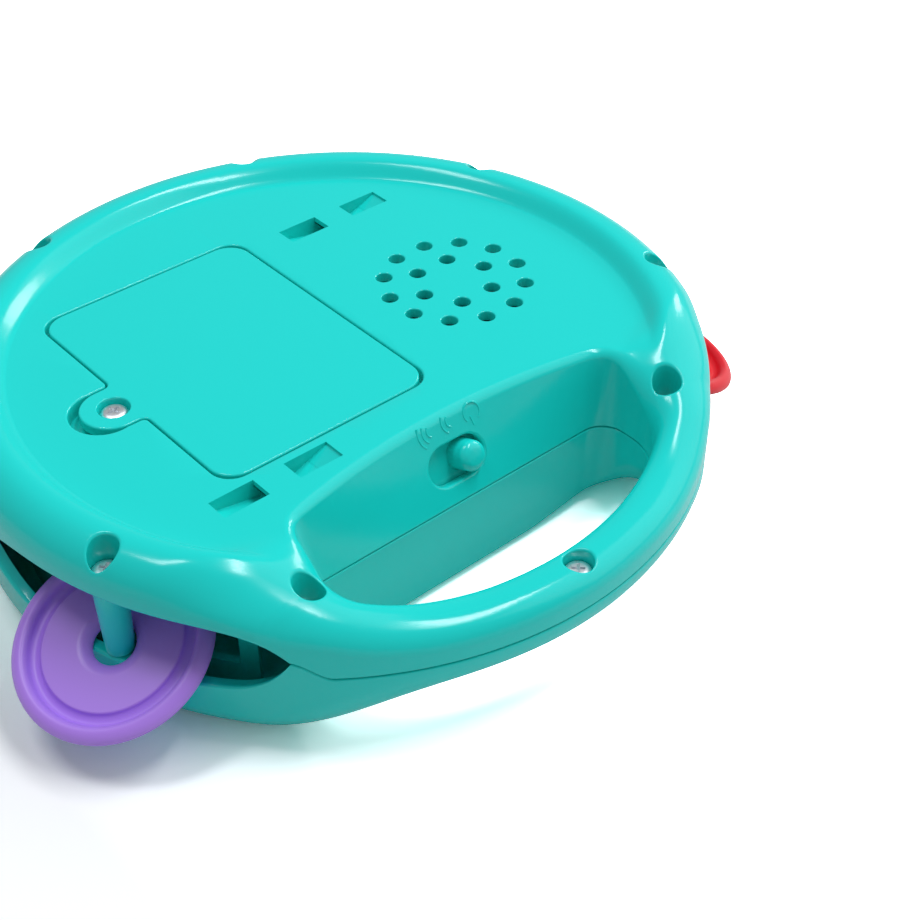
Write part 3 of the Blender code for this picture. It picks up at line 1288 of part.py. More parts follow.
# The whole toy hangs on one empty, which puts the middle of its box over the origin
middle = bpy.data.objects.new("toy_middle", None)
bpy.context.scene.collection.objects.link(middle)
middle.location = (0.0, MIDDLE_SHIFT, 0.0)
for piece in bpy.data.objects:
    if piece.parent is None and piece is not middle:
        piece.parent = middle
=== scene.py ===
import math

import bmesh
import bpy
from mathutils import Quaternion, Matrix, Vector


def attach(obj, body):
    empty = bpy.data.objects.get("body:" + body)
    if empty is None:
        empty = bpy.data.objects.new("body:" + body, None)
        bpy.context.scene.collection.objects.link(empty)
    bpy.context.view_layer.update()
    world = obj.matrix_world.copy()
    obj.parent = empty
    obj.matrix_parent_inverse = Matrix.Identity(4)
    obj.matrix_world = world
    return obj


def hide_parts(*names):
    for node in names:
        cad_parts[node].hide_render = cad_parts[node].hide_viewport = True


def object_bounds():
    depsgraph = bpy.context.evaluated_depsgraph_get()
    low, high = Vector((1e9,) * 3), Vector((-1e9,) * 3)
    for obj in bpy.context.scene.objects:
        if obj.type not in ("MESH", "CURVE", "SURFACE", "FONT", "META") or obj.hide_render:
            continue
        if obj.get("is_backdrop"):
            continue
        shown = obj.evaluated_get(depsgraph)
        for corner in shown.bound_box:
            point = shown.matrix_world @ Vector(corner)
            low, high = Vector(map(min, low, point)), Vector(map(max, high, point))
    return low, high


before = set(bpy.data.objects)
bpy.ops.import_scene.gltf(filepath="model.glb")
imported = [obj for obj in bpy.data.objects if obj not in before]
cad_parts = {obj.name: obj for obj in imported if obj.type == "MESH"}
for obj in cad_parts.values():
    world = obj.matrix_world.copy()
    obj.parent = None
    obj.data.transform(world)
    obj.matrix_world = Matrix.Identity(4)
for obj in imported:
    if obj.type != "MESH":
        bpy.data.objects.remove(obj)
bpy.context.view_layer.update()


# Back shell
# One injection moulding in teal ABS: a flat plate inside a rounded rim, which runs out into the
# handle bar round the hand opening. Its polished tool leaves it glossy, with soft edges.

BODY_RADIUS = 0.0768
PLATE_RADIUS = 0.0639
PLATE_HEIGHT = 0.0372
FRONT_FACE_HEIGHT = 0.0012
WALL = 0.0022
GAP = 0.0003
TO_MIDDLE = Vector((0.0, -0.0049, 0.0))
RIM_RISE = 0.0033
RIM_ROUND = 0.0072
RISE_POWER = 1.5
HANDLE_FALL = 0.01305
FALL_START = 0.0365
FALL_END = 0.0670
RISE_FADE = 0.0045
BAR_INNER_RADIUS = 0.0666
BAR_ROUND = 0.0043
OPENING_CHORD = 0.0398
OPENING_HALF_WIDTH = 0.0388
OPENING_CORNER = 0.0053
OPENING_BAR_CORNER = 0.0112
OPENING_LEAN = 0.0072
OPENING_END_LEAN = 0.0015
OPENING_END_SPREAD = 0.0012
OPENING_EDGE_ROUND = 0.0016
HANDLE_END_DEPTH = 0.0076
HANDLE_BAR_DEPTH = 0.0048
OPENING_END_BLEND = 0.0075
OPENING_LOW_ROUND = 0.001
SEAM_DROP = 0.01305
HANDLE_SEAM_DROP = 0.01695
SEAM_STEP_IN = 0.0473
SEAM_STEP_OUT = 0.0533
WINDOW_END = 26.3
SIDE_JINGLE_ANGLE = -20.0
FAR_WINDOW_ANGLE = 90.0
POST_STEP = 44.0
WINDOW_RISE = 0.00645
WINDOW_POWER = 5.5
SEAM_LIP = 0.0003
WINDOW_LIP = 0.0007
RAY_START = Vector((0.0, -0.0532))
JINGLE_ANGLES = {"jingle_right": SIDE_JINGLE_ANGLE, "jingle_top_right": FAR_WINDOW_ANGLE - POST_STEP / 2,
                 "jingle_top_left": FAR_WINDOW_ANGLE + POST_STEP / 2,
                 "jingle_left": 180.0 - SIDE_JINGLE_ANGLE}
WINDOWS = ((SIDE_JINGLE_ANGLE, WINDOW_END), (FAR_WINDOW_ANGLE, WINDOW_END + POST_STEP / 2),
           (180.0 - SIDE_JINGLE_ANGLE, WINDOW_END))
ROUND_HEADINGS = (-0.16, 0.14)
TUBE_HEADINGS = (0.10, 0.34)
BAR_HEADINGS = (-0.5, 0.0)
TUBE_POWERS = (2.0, 3.0)
CORNER_PULL_SHARE = 0.55
OUTER_SLOPE_SHARE = 0.2
INNER_SLOPE_SHARE = 0.4
FOOT_SHARE = 0.3
WALL_START_SHARE = 0.8
TIP_SHARES = (0.0, 0.006, 0.015, 0.028, 0.045, 0.065, 0.09, 0.12, 0.16, 0.2)
TIP_ROOM = 0.05
RIM_ROOM = 0.35
RIM_STEPS = 300
CHORD_STEPS = 16
CORNER_STEPS = 12
BAR_CORNER_STEPS = 14
BAR_STEPS = 30
LIP_STEPS = 4
FLARE_STEPS = 5
BACK_SKIN_STEPS = (12, 9)
BACK_PROBE_STEPS = (14, 8)
INNER_SKIN_STEPS = (5, 3)
SHARP_DEGREES = 34.0
TINY = 1e-9
PARALLEL = 1e-12
PAST_END = 1e-6
TEAL = "#18DAD2"


def mix(first, second, share):
    return first + (second - first) * share


def blend(low, high, value):
    """Smooth step from 0 at low to 1 at high."""
    share = min(1.0, max(0.0, (value - low) / (high - low)))
    return share * share * (3.0 - 2.0 * share)


def corner_curve(start, corner, end, steps):
    """Points of a rounded corner after its start, ending at its end."""
    first = mix(start, corner, CORNER_PULL_SHARE)
    second = mix(end, corner, CORNER_PULL_SHARE)
    points = []
    for step in range(1, steps + 1):
        t = step / steps
        points.append(start * (1 - t) ** 3 + first * (3 * t * (1 - t) ** 2)
                      + second * (3 * t * t * (1 - t)) + end * t ** 3)
    return points


def section_line(start, *rows):
    """Points of a section: each row is a plain point, or a rounded corner with its end and steps."""
    points = [Vector(start)]
    for row in rows:
        if len(row) == 2:
            points.append(Vector(row))
        else:
            points += corner_curve(points[-1], Vector(row[0]), Vector(row[1]), row[2])
    return points


def polar(radius, degrees):
    angle = math.radians(degrees)
    return Vector((radius * math.cos(angle), radius * math.sin(angle)))


def arc_points(centre, radius, start, end, steps):
    """Plan points along an arc, angles in radians."""
    angles = [mix(start, end, k / steps) for k in range(steps + 1)]
    return [centre + radius * Vector((math.cos(angle), math.sin(angle))) for angle in angles]


def rings_mesh(rings, capped, looped=False, mesh_data=None):
    """Skin through rings of equally many points."""
    mesh_data = mesh_data or bmesh.new()
    rows = [[mesh_data.verts.new(point) for point in ring] for ring in rings]
    pairs = list(zip(rows, rows[1:]))
    if looped:
        pairs.append((rows[-1], rows[0]))
    for row, following in pairs:
        for k in range(len(row)):
            after = (k + 1) % len(row)
            mesh_data.faces.new((row[k], row[after], following[after], following[k]))
    if capped:
        mesh_data.faces.new(rows[0][::-1])
        mesh_data.faces.new(rows[-1])
    return mesh_data


def circle(radius, z, facets, centre=Vector((0.0, 0.0))):
    turn = 2.0 * math.pi / facets
    return [Vector((centre.x + radius * math.cos(turn * k), centre.y + radius * math.sin(turn * k), z))
            for k in range(facets)]


def turned(profile, facets, closed, mesh_data=None, centre=Vector((0.0, 0.0))):
    """Body of revolution: a solid with capped ends, or a ring from a closed profile."""
    rings = [circle(radius, z, facets, centre) for radius, z in profile]
    return rings_mesh(rings, not closed, closed, mesh_data)


def lifted(outline, z):
    return [Vector((point.x, point.y, z)) for point in outline]


def prism(outline, low, high):
    return rings_mesh([lifted(outline, low), lifted(outline, high)], True)


def quarter_round(steps):
    """Shares of a radius along a quarter circle: how far from its two ends' tangents."""
    turns = [math.pi / 2 * k / steps for k in range(steps + 1)]
    return [(1 - math.cos(turn), 1 - math.sin(turn)) for turn in turns]


def crest_and_foot(point):
    """Heights of the rim's crest and of the plate inside it. The crest falls to the handle bar,
    and what it rises over the plate dies away on the way."""
    towards_bar = -point.y * (BODY_RADIUS - RIM_ROUND) / point.length
    fall = HANDLE_FALL * blend(FALL_START, FALL_END, towards_bar)
    crest = PLATE_HEIGHT + RIM_RISE - fall
    return crest, crest - RIM_RISE * (1.0 - blend(0.0, RISE_FADE, fall))


def seam_height(point):
    """The seam between the shells, which steps down where the rim becomes the handle."""
    near_handle = 1.0 - blend(SEAM_STEP_IN, SEAM_STEP_OUT, abs(point.x))
    if point.y > 0:
        near_handle = 0.0
    return PLATE_HEIGHT - mix(SEAM_DROP, HANDLE_SEAM_DROP, near_handle)


def window_share(point):
    """How far a window is open at a point of the rim, from 0 to 1."""
    angle = math.degrees(math.atan2(point.y, point.x))
    share = 0.0
    for middle, half in WINDOWS:
        away = abs((angle - middle + 180.0) % 360.0 - 180.0)
        from_tip = (half - away) / WINDOW_END
        if from_tip > 0:
            share = 1.0 - max(0.0, 1.0 - from_tip) ** WINDOW_POWER
    return share


def opening_outline(grow, leaning):
    """The hand opening, pushed outwards by grow; leaning gives its wider top edge."""
    half = OPENING_HALF_WIDTH + grow + (OPENING_END_SPREAD if leaning else 0.0)
    corner = OPENING_CORNER + grow
    bar_corner = OPENING_BAR_CORNER + grow
    bar_radius = BAR_INNER_RADIUS + grow
    lean = OPENING_LEAN if leaning else 0.0
    end_lean = OPENING_END_LEAN if leaning else 0.0
    slope = math.atan(2 * (lean - end_lean) * (half - corner) / half ** 2)
    reach = half - corner * (1 - math.sin(slope))

    def side(x):
        return -OPENING_CHORD + grow + mix(end_lean, lean, 1 - (x / half) ** 2)

    low_x = half - bar_corner
    low_y = -math.sqrt((bar_radius - bar_corner) ** 2 - low_x ** 2)
    tangent = math.atan2(low_y, low_x)
    corner_centre = Vector((reach, side(reach))) - corner * Vector((math.sin(slope), math.cos(slope)))
    right = [Vector((reach * k / CHORD_STEPS, side(reach * k / CHORD_STEPS))) for k in range(CHORD_STEPS)]
    right += arc_points(corner_centre, corner, math.pi / 2 - slope, 0.0, CORNER_STEPS)
    right += arc_points(Vector((low_x, low_y)), bar_corner, 0.0, tangent, BAR_CORNER_STEPS)
    right += [polar(bar_radius, mix(math.degrees(tangent), -90.0, k / BAR_STEPS))
              for k in range(1, BAR_STEPS + 1)]
    left = [Vector((-point.x, point.y)) for point in right[1:-1]]
    return right + left[::-1]


def outline_reach(outline, heading):
    """Distance from the middle of the opening to its outline along a heading."""
    best = 0.0
    for start, end in zip(outline, outline[1:] + outline[:1]):
        span = end - start
        across = heading.x * span.y - heading.y * span.x
        if abs(across) < PARALLEL:
            continue
        offset = start - RAY_START
        reach = (offset.x * span.y - offset.y * span.x) / across
        along = (offset.x * heading.y - offset.y * heading.x) / across
        if reach > 0 and -PAST_END <= along <= 1 + PAST_END:
            best = max(best, reach)
    return best


class Ray:
    """One section of the shells, from the hand opening out to the rim."""

    def __init__(self, heading):
        self.heading = heading
        self.rim_point = self.plan(self.rim(BODY_RADIUS))
        self.out_round = mix(BAR_ROUND, RIM_ROUND, blend(*ROUND_HEADINGS, heading.y))
        self.tube_share = 1.0 - blend(*TUBE_HEADINGS, heading.y)
        bar_share = 1.0 - blend(*BAR_HEADINGS, heading.y)
        self.tube_depth = mix(HANDLE_END_DEPTH, HANDLE_BAR_DEPTH, bar_share)
        self.tube_power = mix(*TUBE_POWERS, bar_share)

    def plan(self, reach):
        return RAY_START + reach * self.heading

    def place(self, reach, z):
        point = self.plan(reach)
        return Vector((point.x, point.y, z))

    def rim(self, radius):
        half = RAY_START.dot(self.heading)
        return -half + math.sqrt(half ** 2 - RAY_START.length_squared + radius ** 2)

    def opening(self, grow, leaning):
        return outline_reach(opening_outline(grow, leaning), self.heading)

    def inner_fall(self, part):
        """How far the handle's round has fallen at a part of its way inwards, and how steeply."""
        height = (1.0 - part ** self.tube_power) ** (1.0 / self.tube_power)
        return self.tube_depth * (1.0 - height), self.tube_depth * (part / height) ** (self.tube_power - 1.0)


def back_section(ray, inset, round_steps, fall_steps):
    """Outer (inset 0) or inner skin of the back shell along one ray, with a soft lip at both ends.
    Inside the crest it is a plate with a small edge, or the handle's round, or between the two."""
    share = window_share(ray.rim_point)
    crest_reach = ray.rim(BODY_RADIUS - ray.out_round)
    edge_top = ray.opening(0.0, True)
    slope_share = INNER_SLOPE_SHARE if inset else OUTER_SLOPE_SHARE
    inner_reach = mix(ray.opening(max(OPENING_EDGE_ROUND, inset + OPENING_LOW_ROUND), True),
                      mix(edge_top, crest_reach, slope_share), ray.tube_share)
    foot_reach = max(ray.rim(PLATE_RADIUS), mix(inner_reach, crest_reach, FOOT_SHARE))
    crest, foot = crest_and_foot(ray.plan(crest_reach))
    wall_reach = ray.rim(BODY_RADIUS - inset)
    lower_edge = seam_height(ray.rim_point) + GAP / 2 + WINDOW_RISE * share
    shoulder = ray.place(wall_reach, max(crest - ray.out_round, lower_edge + 2 * WINDOW_LIP))
    lip = 0.0 if inset else mix(SEAM_LIP, WINDOW_LIP, min(1.0, 2 * share))
    points = [ray.place(ray.rim(BODY_RADIUS - inset - lip), lower_edge)]
    if lip:
        points += corner_curve(points[0], ray.place(wall_reach, lower_edge),
                               ray.place(wall_reach, lower_edge + lip), LIP_STEPS)
    points.append(shoulder)
    points += corner_curve(shoulder, ray.place(wall_reach, crest - inset),
                           ray.place(crest_reach, crest - inset), round_steps)
    width = crest_reach - edge_top
    reaches = [mix(crest_reach, foot_reach, step / fall_steps) for step in range(1, fall_steps + 1)]
    reaches += [mix(inner_reach, foot_reach, (1 - step / fall_steps) ** 2)
                for step in range(1, fall_steps + 1)]
    for reach in reaches:
        past = min(1.0, (crest_reach - reach) / (crest_reach - foot_reach))
        plate = mix(crest, foot, blend(0.0, 1.0, past ** RISE_POWER))
        fall, steepness = ray.inner_fall((crest_reach - reach) / width)
        points.append(ray.place(reach, mix(plate, crest - fall, ray.tube_share) - inset))
    edge_height = points[-1].z - ray.tube_share * steepness * (inner_reach - edge_top) / width
    low_reach = ray.opening(inset, False)
    low_height = PLATE_HEIGHT - HANDLE_SEAM_DROP + GAP / 2
    height_share = (edge_height - low_height) / (edge_height + inset - low_height)
    edge_reach = mix(low_reach, ray.opening(inset, True), height_share)
    wall_height = min(mix(edge_height - OPENING_EDGE_ROUND, crest - ray.tube_depth, ray.tube_share),
                      edge_height - OPENING_EDGE_ROUND / 2)
    down_share = min(WALL_START_SHARE, (edge_height - wall_height) / (edge_height - low_height))
    wall_start = ray.place(mix(edge_reach, low_reach, down_share), mix(edge_height, low_height, down_share))
    points += corner_curve(points[-1], ray.place(edge_reach, edge_height), wall_start, round_steps)
    low_end = ray.place(low_reach, low_height)
    if inset:
        points.append(low_end)
    else:
        points.append(mix(low_end, wall_start, SEAM_LIP / (wall_start.z - low_height)))
        lip_end = ray.place(ray.opening(SEAM_LIP, False), low_height)
        points += corner_curve(points[-1], low_end, lip_end, LIP_STEPS)
    return points


def section_rays():
    """Rays round the rim, closer at the window tips and through every corner of the hand opening."""
    tips = []
    for middle, half in WINDOWS:
        for share in TIP_SHARES:
            tips += [middle + half - share * WINDOW_END, middle - half + share * WINDOW_END]
    places = [polar(BODY_RADIUS, angle) for angle in tips] + opening_outline(0.0, False)
    angles = []
    for point in places + [polar(BODY_RADIUS, 360.0 * k / RIM_STEPS) for k in range(RIM_STEPS)]:
        angle = math.atan2(*(point - RAY_START).yx)
        room = math.radians(TIP_ROOM if len(angles) < len(places) else RIM_ROOM)
        if all(abs(angle - other) > room for other in angles):
            angles.append(angle)
    return [Ray(Vector((math.cos(angle), math.sin(angle)))) for angle in sorted(angles)]


def shell_skin(section, outer_steps, inner_steps):
    """Closed skin of a shell, outer and inner side, as triangles."""
    loops = [section(ray, 0.0, *outer_steps) + section(ray, WALL, *inner_steps)[::-1] for ray in RAYS]
    mesh_data = rings_mesh(loops, False, True)
    bmesh.ops.triangulate(mesh_data, faces=mesh_data.faces[:])
    return mesh_data


def new_piece(name, mesh_data):
    """An object from mesh data in the toy's own plan, moved so that its box stands over the middle."""
    bmesh.ops.recalc_face_normals(mesh_data, faces=mesh_data.faces[:])
    bmesh.ops.translate(mesh_data, verts=mesh_data.verts[:], vec=TO_MIDDLE)
    mesh = bpy.data.meshes.new(name)
    mesh_data.to_mesh(mesh)
    mesh_data.free()
    piece = bpy.data.objects.new(name, mesh)
    bpy.context.scene.collection.objects.link(piece)
    return piece


def carve(piece, mesh_data, operation="DIFFERENCE"):
    """Cut mesh data out of a piece, or add it, for good."""
    tool = new_piece(piece.name + "_tool", mesh_data)
    modifier = piece.modifiers.new("carve", "BOOLEAN")
    modifier.operation = operation
    modifier.solver = "EXACT"
    modifier.object = tool
    graph = bpy.context.evaluated_depsgraph_get()
    piece.data = bpy.data.meshes.new_from_object(piece.evaluated_get(graph))
    piece.modifiers.clear()
    bpy.data.objects.remove(tool)
    return piece


def join_pieces(piece, others):
    """Put other pieces' meshes into one piece as separate parts of its moulding."""
    mesh_data = bmesh.new()
    for each in [piece] + others:
        mesh_data.from_mesh(each.data)
    for other in others:
        bpy.data.objects.remove(other)
    mesh_data.to_mesh(piece.data)
    mesh_data.free()
    return piece


def smooth_finish(piece, material, sharp_degrees=SHARP_DEGREES):
    """Smooth shading that keeps flat faces flat, and the piece's material."""
    piece.data.shade_smooth()
    piece.data.set_sharp_from_angle(angle=math.radians(sharp_degrees))
    piece.data.materials.clear()
    piece.data.materials.append(material)
    modifier = piece.modifiers.new("even_normals", "WEIGHTED_NORMAL")
    modifier.keep_sharp = True
    return piece


def flared_hole(place, radius, low, flare, height, facets, mesh_data):
    """Cutter for a round hole whose lip rounds over into the surface above it."""
    rings = [circle(radius, low, facets, place)]
    lips = []
    for k in range(facets):
        out = Vector((math.cos(2 * math.pi * k / facets), math.sin(2 * math.pi * k / facets)))
        inside = height(place + radius * out)
        start = Vector((radius, inside - flare))
        end = Vector((radius + flare, height(place + (radius + flare) * out)))
        lips.append([start] + corner_curve(start, Vector((radius, inside)), end, FLARE_STEPS))
    for step in range(FLARE_STEPS + 1):
        rings.append([Vector((place.x + lip[step].x * math.cos(2 * math.pi * k / facets),
                              place.y + lip[step].x * math.sin(2 * math.pi * k / facets), lip[step].y))
                      for k, lip in enumerate(lips)])
    top = max(lip[-1].y for lip in lips) + WALL
    rings.append(circle(radius + flare, top, facets, place))
    return rings_mesh(rings, True, mesh_data=mesh_data)


def height_over(point, section, steps, lip_points):
    """Height of a shell's outer skin at a plan point, found between the points of its section."""
    reach = (point - RAY_START).length
    skin = section(Ray((point - RAY_START).normalized()), 0.0, *steps)[lip_points:-lip_points]
    spots = [((Vector((p.x, p.y)) - RAY_START).length, p.z) for p in skin]
    for (far, far_z), (near, near_z) in zip(spots, spots[1:]):
        if near <= reach <= far:
            return mix(near_z, far_z, (reach - near) / max(far - near, TINY))
    return spots[0][1]


def skin_height(point):
    return height_over(point, back_section, BACK_PROBE_STEPS, LIP_STEPS + 1)


def plate_height(point):
    return PLATE_HEIGHT


RAYS = section_rays()
back_shell = new_piece("shell_back", shell_skin(back_section, BACK_SKIN_STEPS, INNER_SKIN_STEPS))

# Screw wells of the back shell
# Deep round wells with a seat at their foot. Those over the jingles carry on below it as the
# posts that the jingles hang on.

POST_CIRCLE = 0.07305
WELL_RADIUS = 0.0029
WELL_WALL = 0.0008
WELL_LIP = 0.0005
SEAT_THICKNESS = 0.0016
SCREW_HOLE_RADIUS = 0.0017
POST_TOP_RADIUS = 0.0032
POST_FOOT_RADIUS = 0.0027
POST_DEPTH = 0.0218
POST_SEAT_DEPTH = 0.0038
RIM_SEAT_DEPTH = 0.009
HANDLE_SEAT_DEPTH = 0.0118
BAR_SEAT_DEPTH = 0.0136
POST_SCREW_LENGTH = 0.0265
CASE_SCREW_LENGTH = 0.0095
BAR_SCREW_LENGTH = 0.0062
RIM_SCREW_ANGLES = (24.0, 156.0)
HANDLE_SCREW_PLACES = (Vector((0.0446, -0.0508)), Vector((-0.0446, -0.0508)))
BAR_SCREW_AT = Vector((0.0, -0.0717))
WELL_FACETS = 48
TUBE_FACETS = 40
POST_FOOT = PLATE_HEIGHT - POST_DEPTH
RIM_SEAM = PLATE_HEIGHT - SEAM_DROP
HANDLE_SEAM = PLATE_HEIGHT - HANDLE_SEAM_DROP
WELLS = [(f"post_screw_{k + 1}", polar(POST_CIRCLE, angle), PLATE_HEIGHT - POST_SEAT_DEPTH, POST_SCREW_LENGTH,
          POST_FOOT) for k, angle in enumerate(JINGLE_ANGLES.values())]
WELLS += [(f"rim_screw_{k + 1}", polar(POST_CIRCLE, angle), PLATE_HEIGHT - RIM_SEAT_DEPTH, CASE_SCREW_LENGTH,
           RIM_SEAM) for k, angle in enumerate(RIM_SCREW_ANGLES)]
WELLS += [(f"handle_screw_{k + 1}", place, PLATE_HEIGHT - HANDLE_SEAT_DEPTH, CASE_SCREW_LENGTH, HANDLE_SEAM)
          for k, place in enumerate(HANDLE_SCREW_PLACES)]
WELLS.append(("handle_bar_screw", BAR_SCREW_AT, PLATE_HEIGHT - BAR_SEAT_DEPTH, BAR_SCREW_LENGTH, HANDLE_SEAM))


def well_tube(place, seat, foot, mesh_data):
    """Tube under the skin round one well, down to its seat, with the post or foot below."""
    outer = WELL_RADIUS + WELL_WALL
    inner = WELL_RADIUS + GAP / 10
    turns = [2 * math.pi * k / TUBE_FACETS for k in range(TUBE_FACETS)]
    spokes = [Vector((math.cos(turn), math.sin(turn))) for turn in turns]
    under = [min(skin_height(place + outer * out), skin_height(place + inner * out)) - WALL / 2
             for out in spokes]

    def ring(radius, heights):
        return [Vector((place.x + radius * out.x, place.y + radius * out.y, z))
                for out, z in zip(spokes, heights)]

    def level(radius, z):
        return ring(radius, [z] * TUBE_FACETS)

    low = seat - SEAT_THICKNESS
    is_post = foot == POST_FOOT
    rings = [level(SCREW_HOLE_RADIUS, seat), level(inner, seat), ring(inner, under), ring(outer, under),
             level(outer, low if is_post else foot + GAP)]
    if is_post:
        rings += [level(POST_TOP_RADIUS, low), level(POST_FOOT_RADIUS, foot + GAP)]
    rings.append(level(SCREW_HOLE_RADIUS, foot + GAP))
    return rings_mesh(rings, False, True, mesh_data)


bores = bmesh.new()
tubes = bmesh.new()
for screw_name, place, seat, length, foot in WELLS:
    flared_hole(place, WELL_RADIUS, seat - GAP, WELL_LIP, skin_height, WELL_FACETS, bores)
    well_tube(place, seat, foot, tubes)
carve(back_shell, bores)

# Battery bay in the back shell
# A framed recess for the door, with a ledge all round and a finger dish beside its screw tab,
# over a deep tray for three cells.

DOOR_X = -0.0172
DOOR_Y = 0.0106
DOOR_WIDTH = 0.0485
DOOR_LENGTH = 0.0660
DOOR_CORNER = 0.0052
RECESS_CORNER = 0.0042
DOOR_GAP = 0.0004
DOOR_THICKNESS = 0.0020
DOOR_TAB = Vector((-0.0451, 0.0102))
DOOR_TAB_RADIUS = 0.0063
DOOR_TAB_CORNER = 0.0016
DOOR_EDGE = 0.0004
DOOR_SCREW_X = -0.0447
FINGER_DISH_SHIFT = 0.0019
FINGER_DISH_RADIUS = 0.0067
FINGER_DISH_DEPTH = 0.0034
DOOR_LEDGE = 0.0019
DOOR_END_LEDGE = 0.0035
BAY_DEPTH = 0.0178
BAY_WALL = 0.0016
BAY_FRAME_DEPTH = 0.0046
DOOR_BOSS_RADIUS = 0.0033
DISH_FACETS = 64
HOLE_FACETS = 32
DOOR_CORNER_STEPS = 8
TAB_CORNER_STEPS = 6
TAB_STEPS = 24


def box_outline(x_low, x_high, y_low, y_high):
    corners = ((x_low, y_low), (x_high, y_low), (x_high, y_high), (x_low, y_high))
    return [Vector(corner) for corner in corners]


def circle_outline(place, radius, facets):
    return [place + polar(radius, 360.0 * k / facets) for k in range(facets)]


def door_outline(grow, corner_radius=RECESS_CORNER):
    """Plan of the battery door with its screw tab, pushed outwards by grow."""
    x_low = DOOR_X - DOOR_WIDTH / 2 - grow
    x_high = DOOR_X + DOOR_WIDTH / 2 + grow
    y_low = DOOR_Y - DOOR_LENGTH / 2 - grow
    y_high = DOOR_Y + DOOR_LENGTH / 2 + grow
    corner = corner_radius + grow
    quarter = math.pi / 2
    tab = DOOR_TAB_RADIUS + grow
    inside = DOOR_TAB_CORNER - grow

    def door_corner(x, y, first):
        return arc_points(Vector((x, y)), corner, first, first + quarter, DOOR_CORNER_STEPS)

    def tab_corner(side, first, last):
        if inside <= 0:
            return [Vector((x_low, DOOR_TAB.y + side * tab))]
        centre = Vector((x_low - inside, DOOR_TAB.y + side * tab + side * inside))
        return arc_points(centre, inside, first, last, TAB_CORNER_STEPS)

    outline = door_corner(x_high - corner, y_low + corner, -quarter)
    outline += door_corner(x_high - corner, y_high - corner, 0.0)
    outline += door_corner(x_low + corner, y_high - corner, quarter)
    outline += tab_corner(1, 0.0, -quarter)
    outline += arc_points(DOOR_TAB, tab, quarter, 3 * quarter, TAB_STEPS)
    outline += tab_corner(-1, quarter, 0.0)
    return outline + door_corner(x_low + corner, y_low + corner, 2 * quarter)


def bay_outline(margin):
    half_x = DOOR_WIDTH / 2 - DOOR_LEDGE + margin
    half_y = DOOR_LENGTH / 2 - DOOR_END_LEDGE + margin
    return box_outline(DOOR_X - half_x, DOOR_X + half_x, DOOR_Y - half_y, DOOR_Y + half_y)


def edged_cut(outline_at, low, lip):
    """Cutter for a recess in the plate, by its growing outline, with a rounded lip."""
    profile = section_line((0.0, low), (0.0, PLATE_HEIGHT - lip),
                           ((0.0, PLATE_HEIGHT), (lip, PLATE_HEIGHT), LIP_STEPS), (lip, PLATE_HEIGHT + WALL))
    return rings_mesh([lifted(outline_at(grow), z) for grow, z in profile], True)


def round_block(centre, radius, low, high, facets):
    return turned([(radius, low), (radius, high)], facets, False, centre=centre)


door_low = PLATE_HEIGHT - DOOR_THICKNESS
door_hole = edged_cut(lambda grow: door_outline(DOOR_GAP + grow), door_low - 2 * WALL, DOOR_EDGE)
carve(back_shell, door_hole)
door_screw_at = Vector((DOOR_SCREW_X, DOOR_TAB.y))
dish_at = DOOR_TAB - Vector((FINGER_DISH_SHIFT, 0.0))
carve(back_shell, flared_hole(dish_at, FINGER_DISH_RADIUS, PLATE_HEIGHT - 2 * WALL, WELL_LIP, plate_height,
                              DISH_FACETS, bmesh.new()))
frame_high = PLATE_HEIGHT - WALL / 2
above = PLATE_HEIGHT + WALL
hidden = GAP / 10
battery_bay = new_piece("bay", prism(door_outline(WALL), PLATE_HEIGHT - BAY_FRAME_DEPTH, frame_high))
bay_floor = PLATE_HEIGHT - BAY_DEPTH
carve(battery_bay, prism(bay_outline(BAY_WALL), bay_floor - BAY_WALL, frame_high - GAP), "UNION")
dish_floor = PLATE_HEIGHT - FINGER_DISH_DEPTH
carve(battery_bay, round_block(dish_at, FINGER_DISH_RADIUS + BAY_WALL, dish_floor - BAY_WALL,
                               frame_high - GAP / 2, DISH_FACETS), "UNION")
carve(battery_bay, prism(door_outline(DOOR_GAP + hidden), door_low - GAP, above))
carve(battery_bay, prism(bay_outline(0.0), bay_floor, above))
carve(battery_bay, round_block(dish_at, FINGER_DISH_RADIUS + hidden, dish_floor, above, DISH_FACETS))
carve(battery_bay, prism(circle_outline(door_screw_at, SCREW_HOLE_RADIUS, HOLE_FACETS), RIM_SEAM, above))
boss_high = dish_floor - BAY_WALL / 2
door_boss = turned([(DOOR_BOSS_RADIUS, RIM_SEAM), (DOOR_BOSS_RADIUS, boss_high),
                    (SCREW_HOLE_RADIUS, boss_high), (SCREW_HOLE_RADIUS, RIM_SEAM)],
                   HOLE_FACETS, True, centre=door_screw_at)

# Tie passages of the back shell
# Two pairs of slots whose floors ramp down under a bridge, for the ties that hold the toy on its
# packing card.

TIE_SLOT_LENGTH = 0.0098
TIE_SLOT_WIDTH = 0.0052
TIE_BRIDGE = 0.0069
TIE_DEPTH = 0.0042
TIE_START_DEPTH = 0.0022
TIE_END_DEPTH = 0.0006
TIE_ROOF = 0.0014
TIE_STARTS = (Vector((-0.0471, -0.0275)), Vector((0.0167, 0.0376)))


def bar_ends(outline, y, half):
    """The two ends of a bar that runs across the toy, from its side view."""
    return [[Vector((x, y + side, z)) for x, z in outline] for side in (-half, half)]


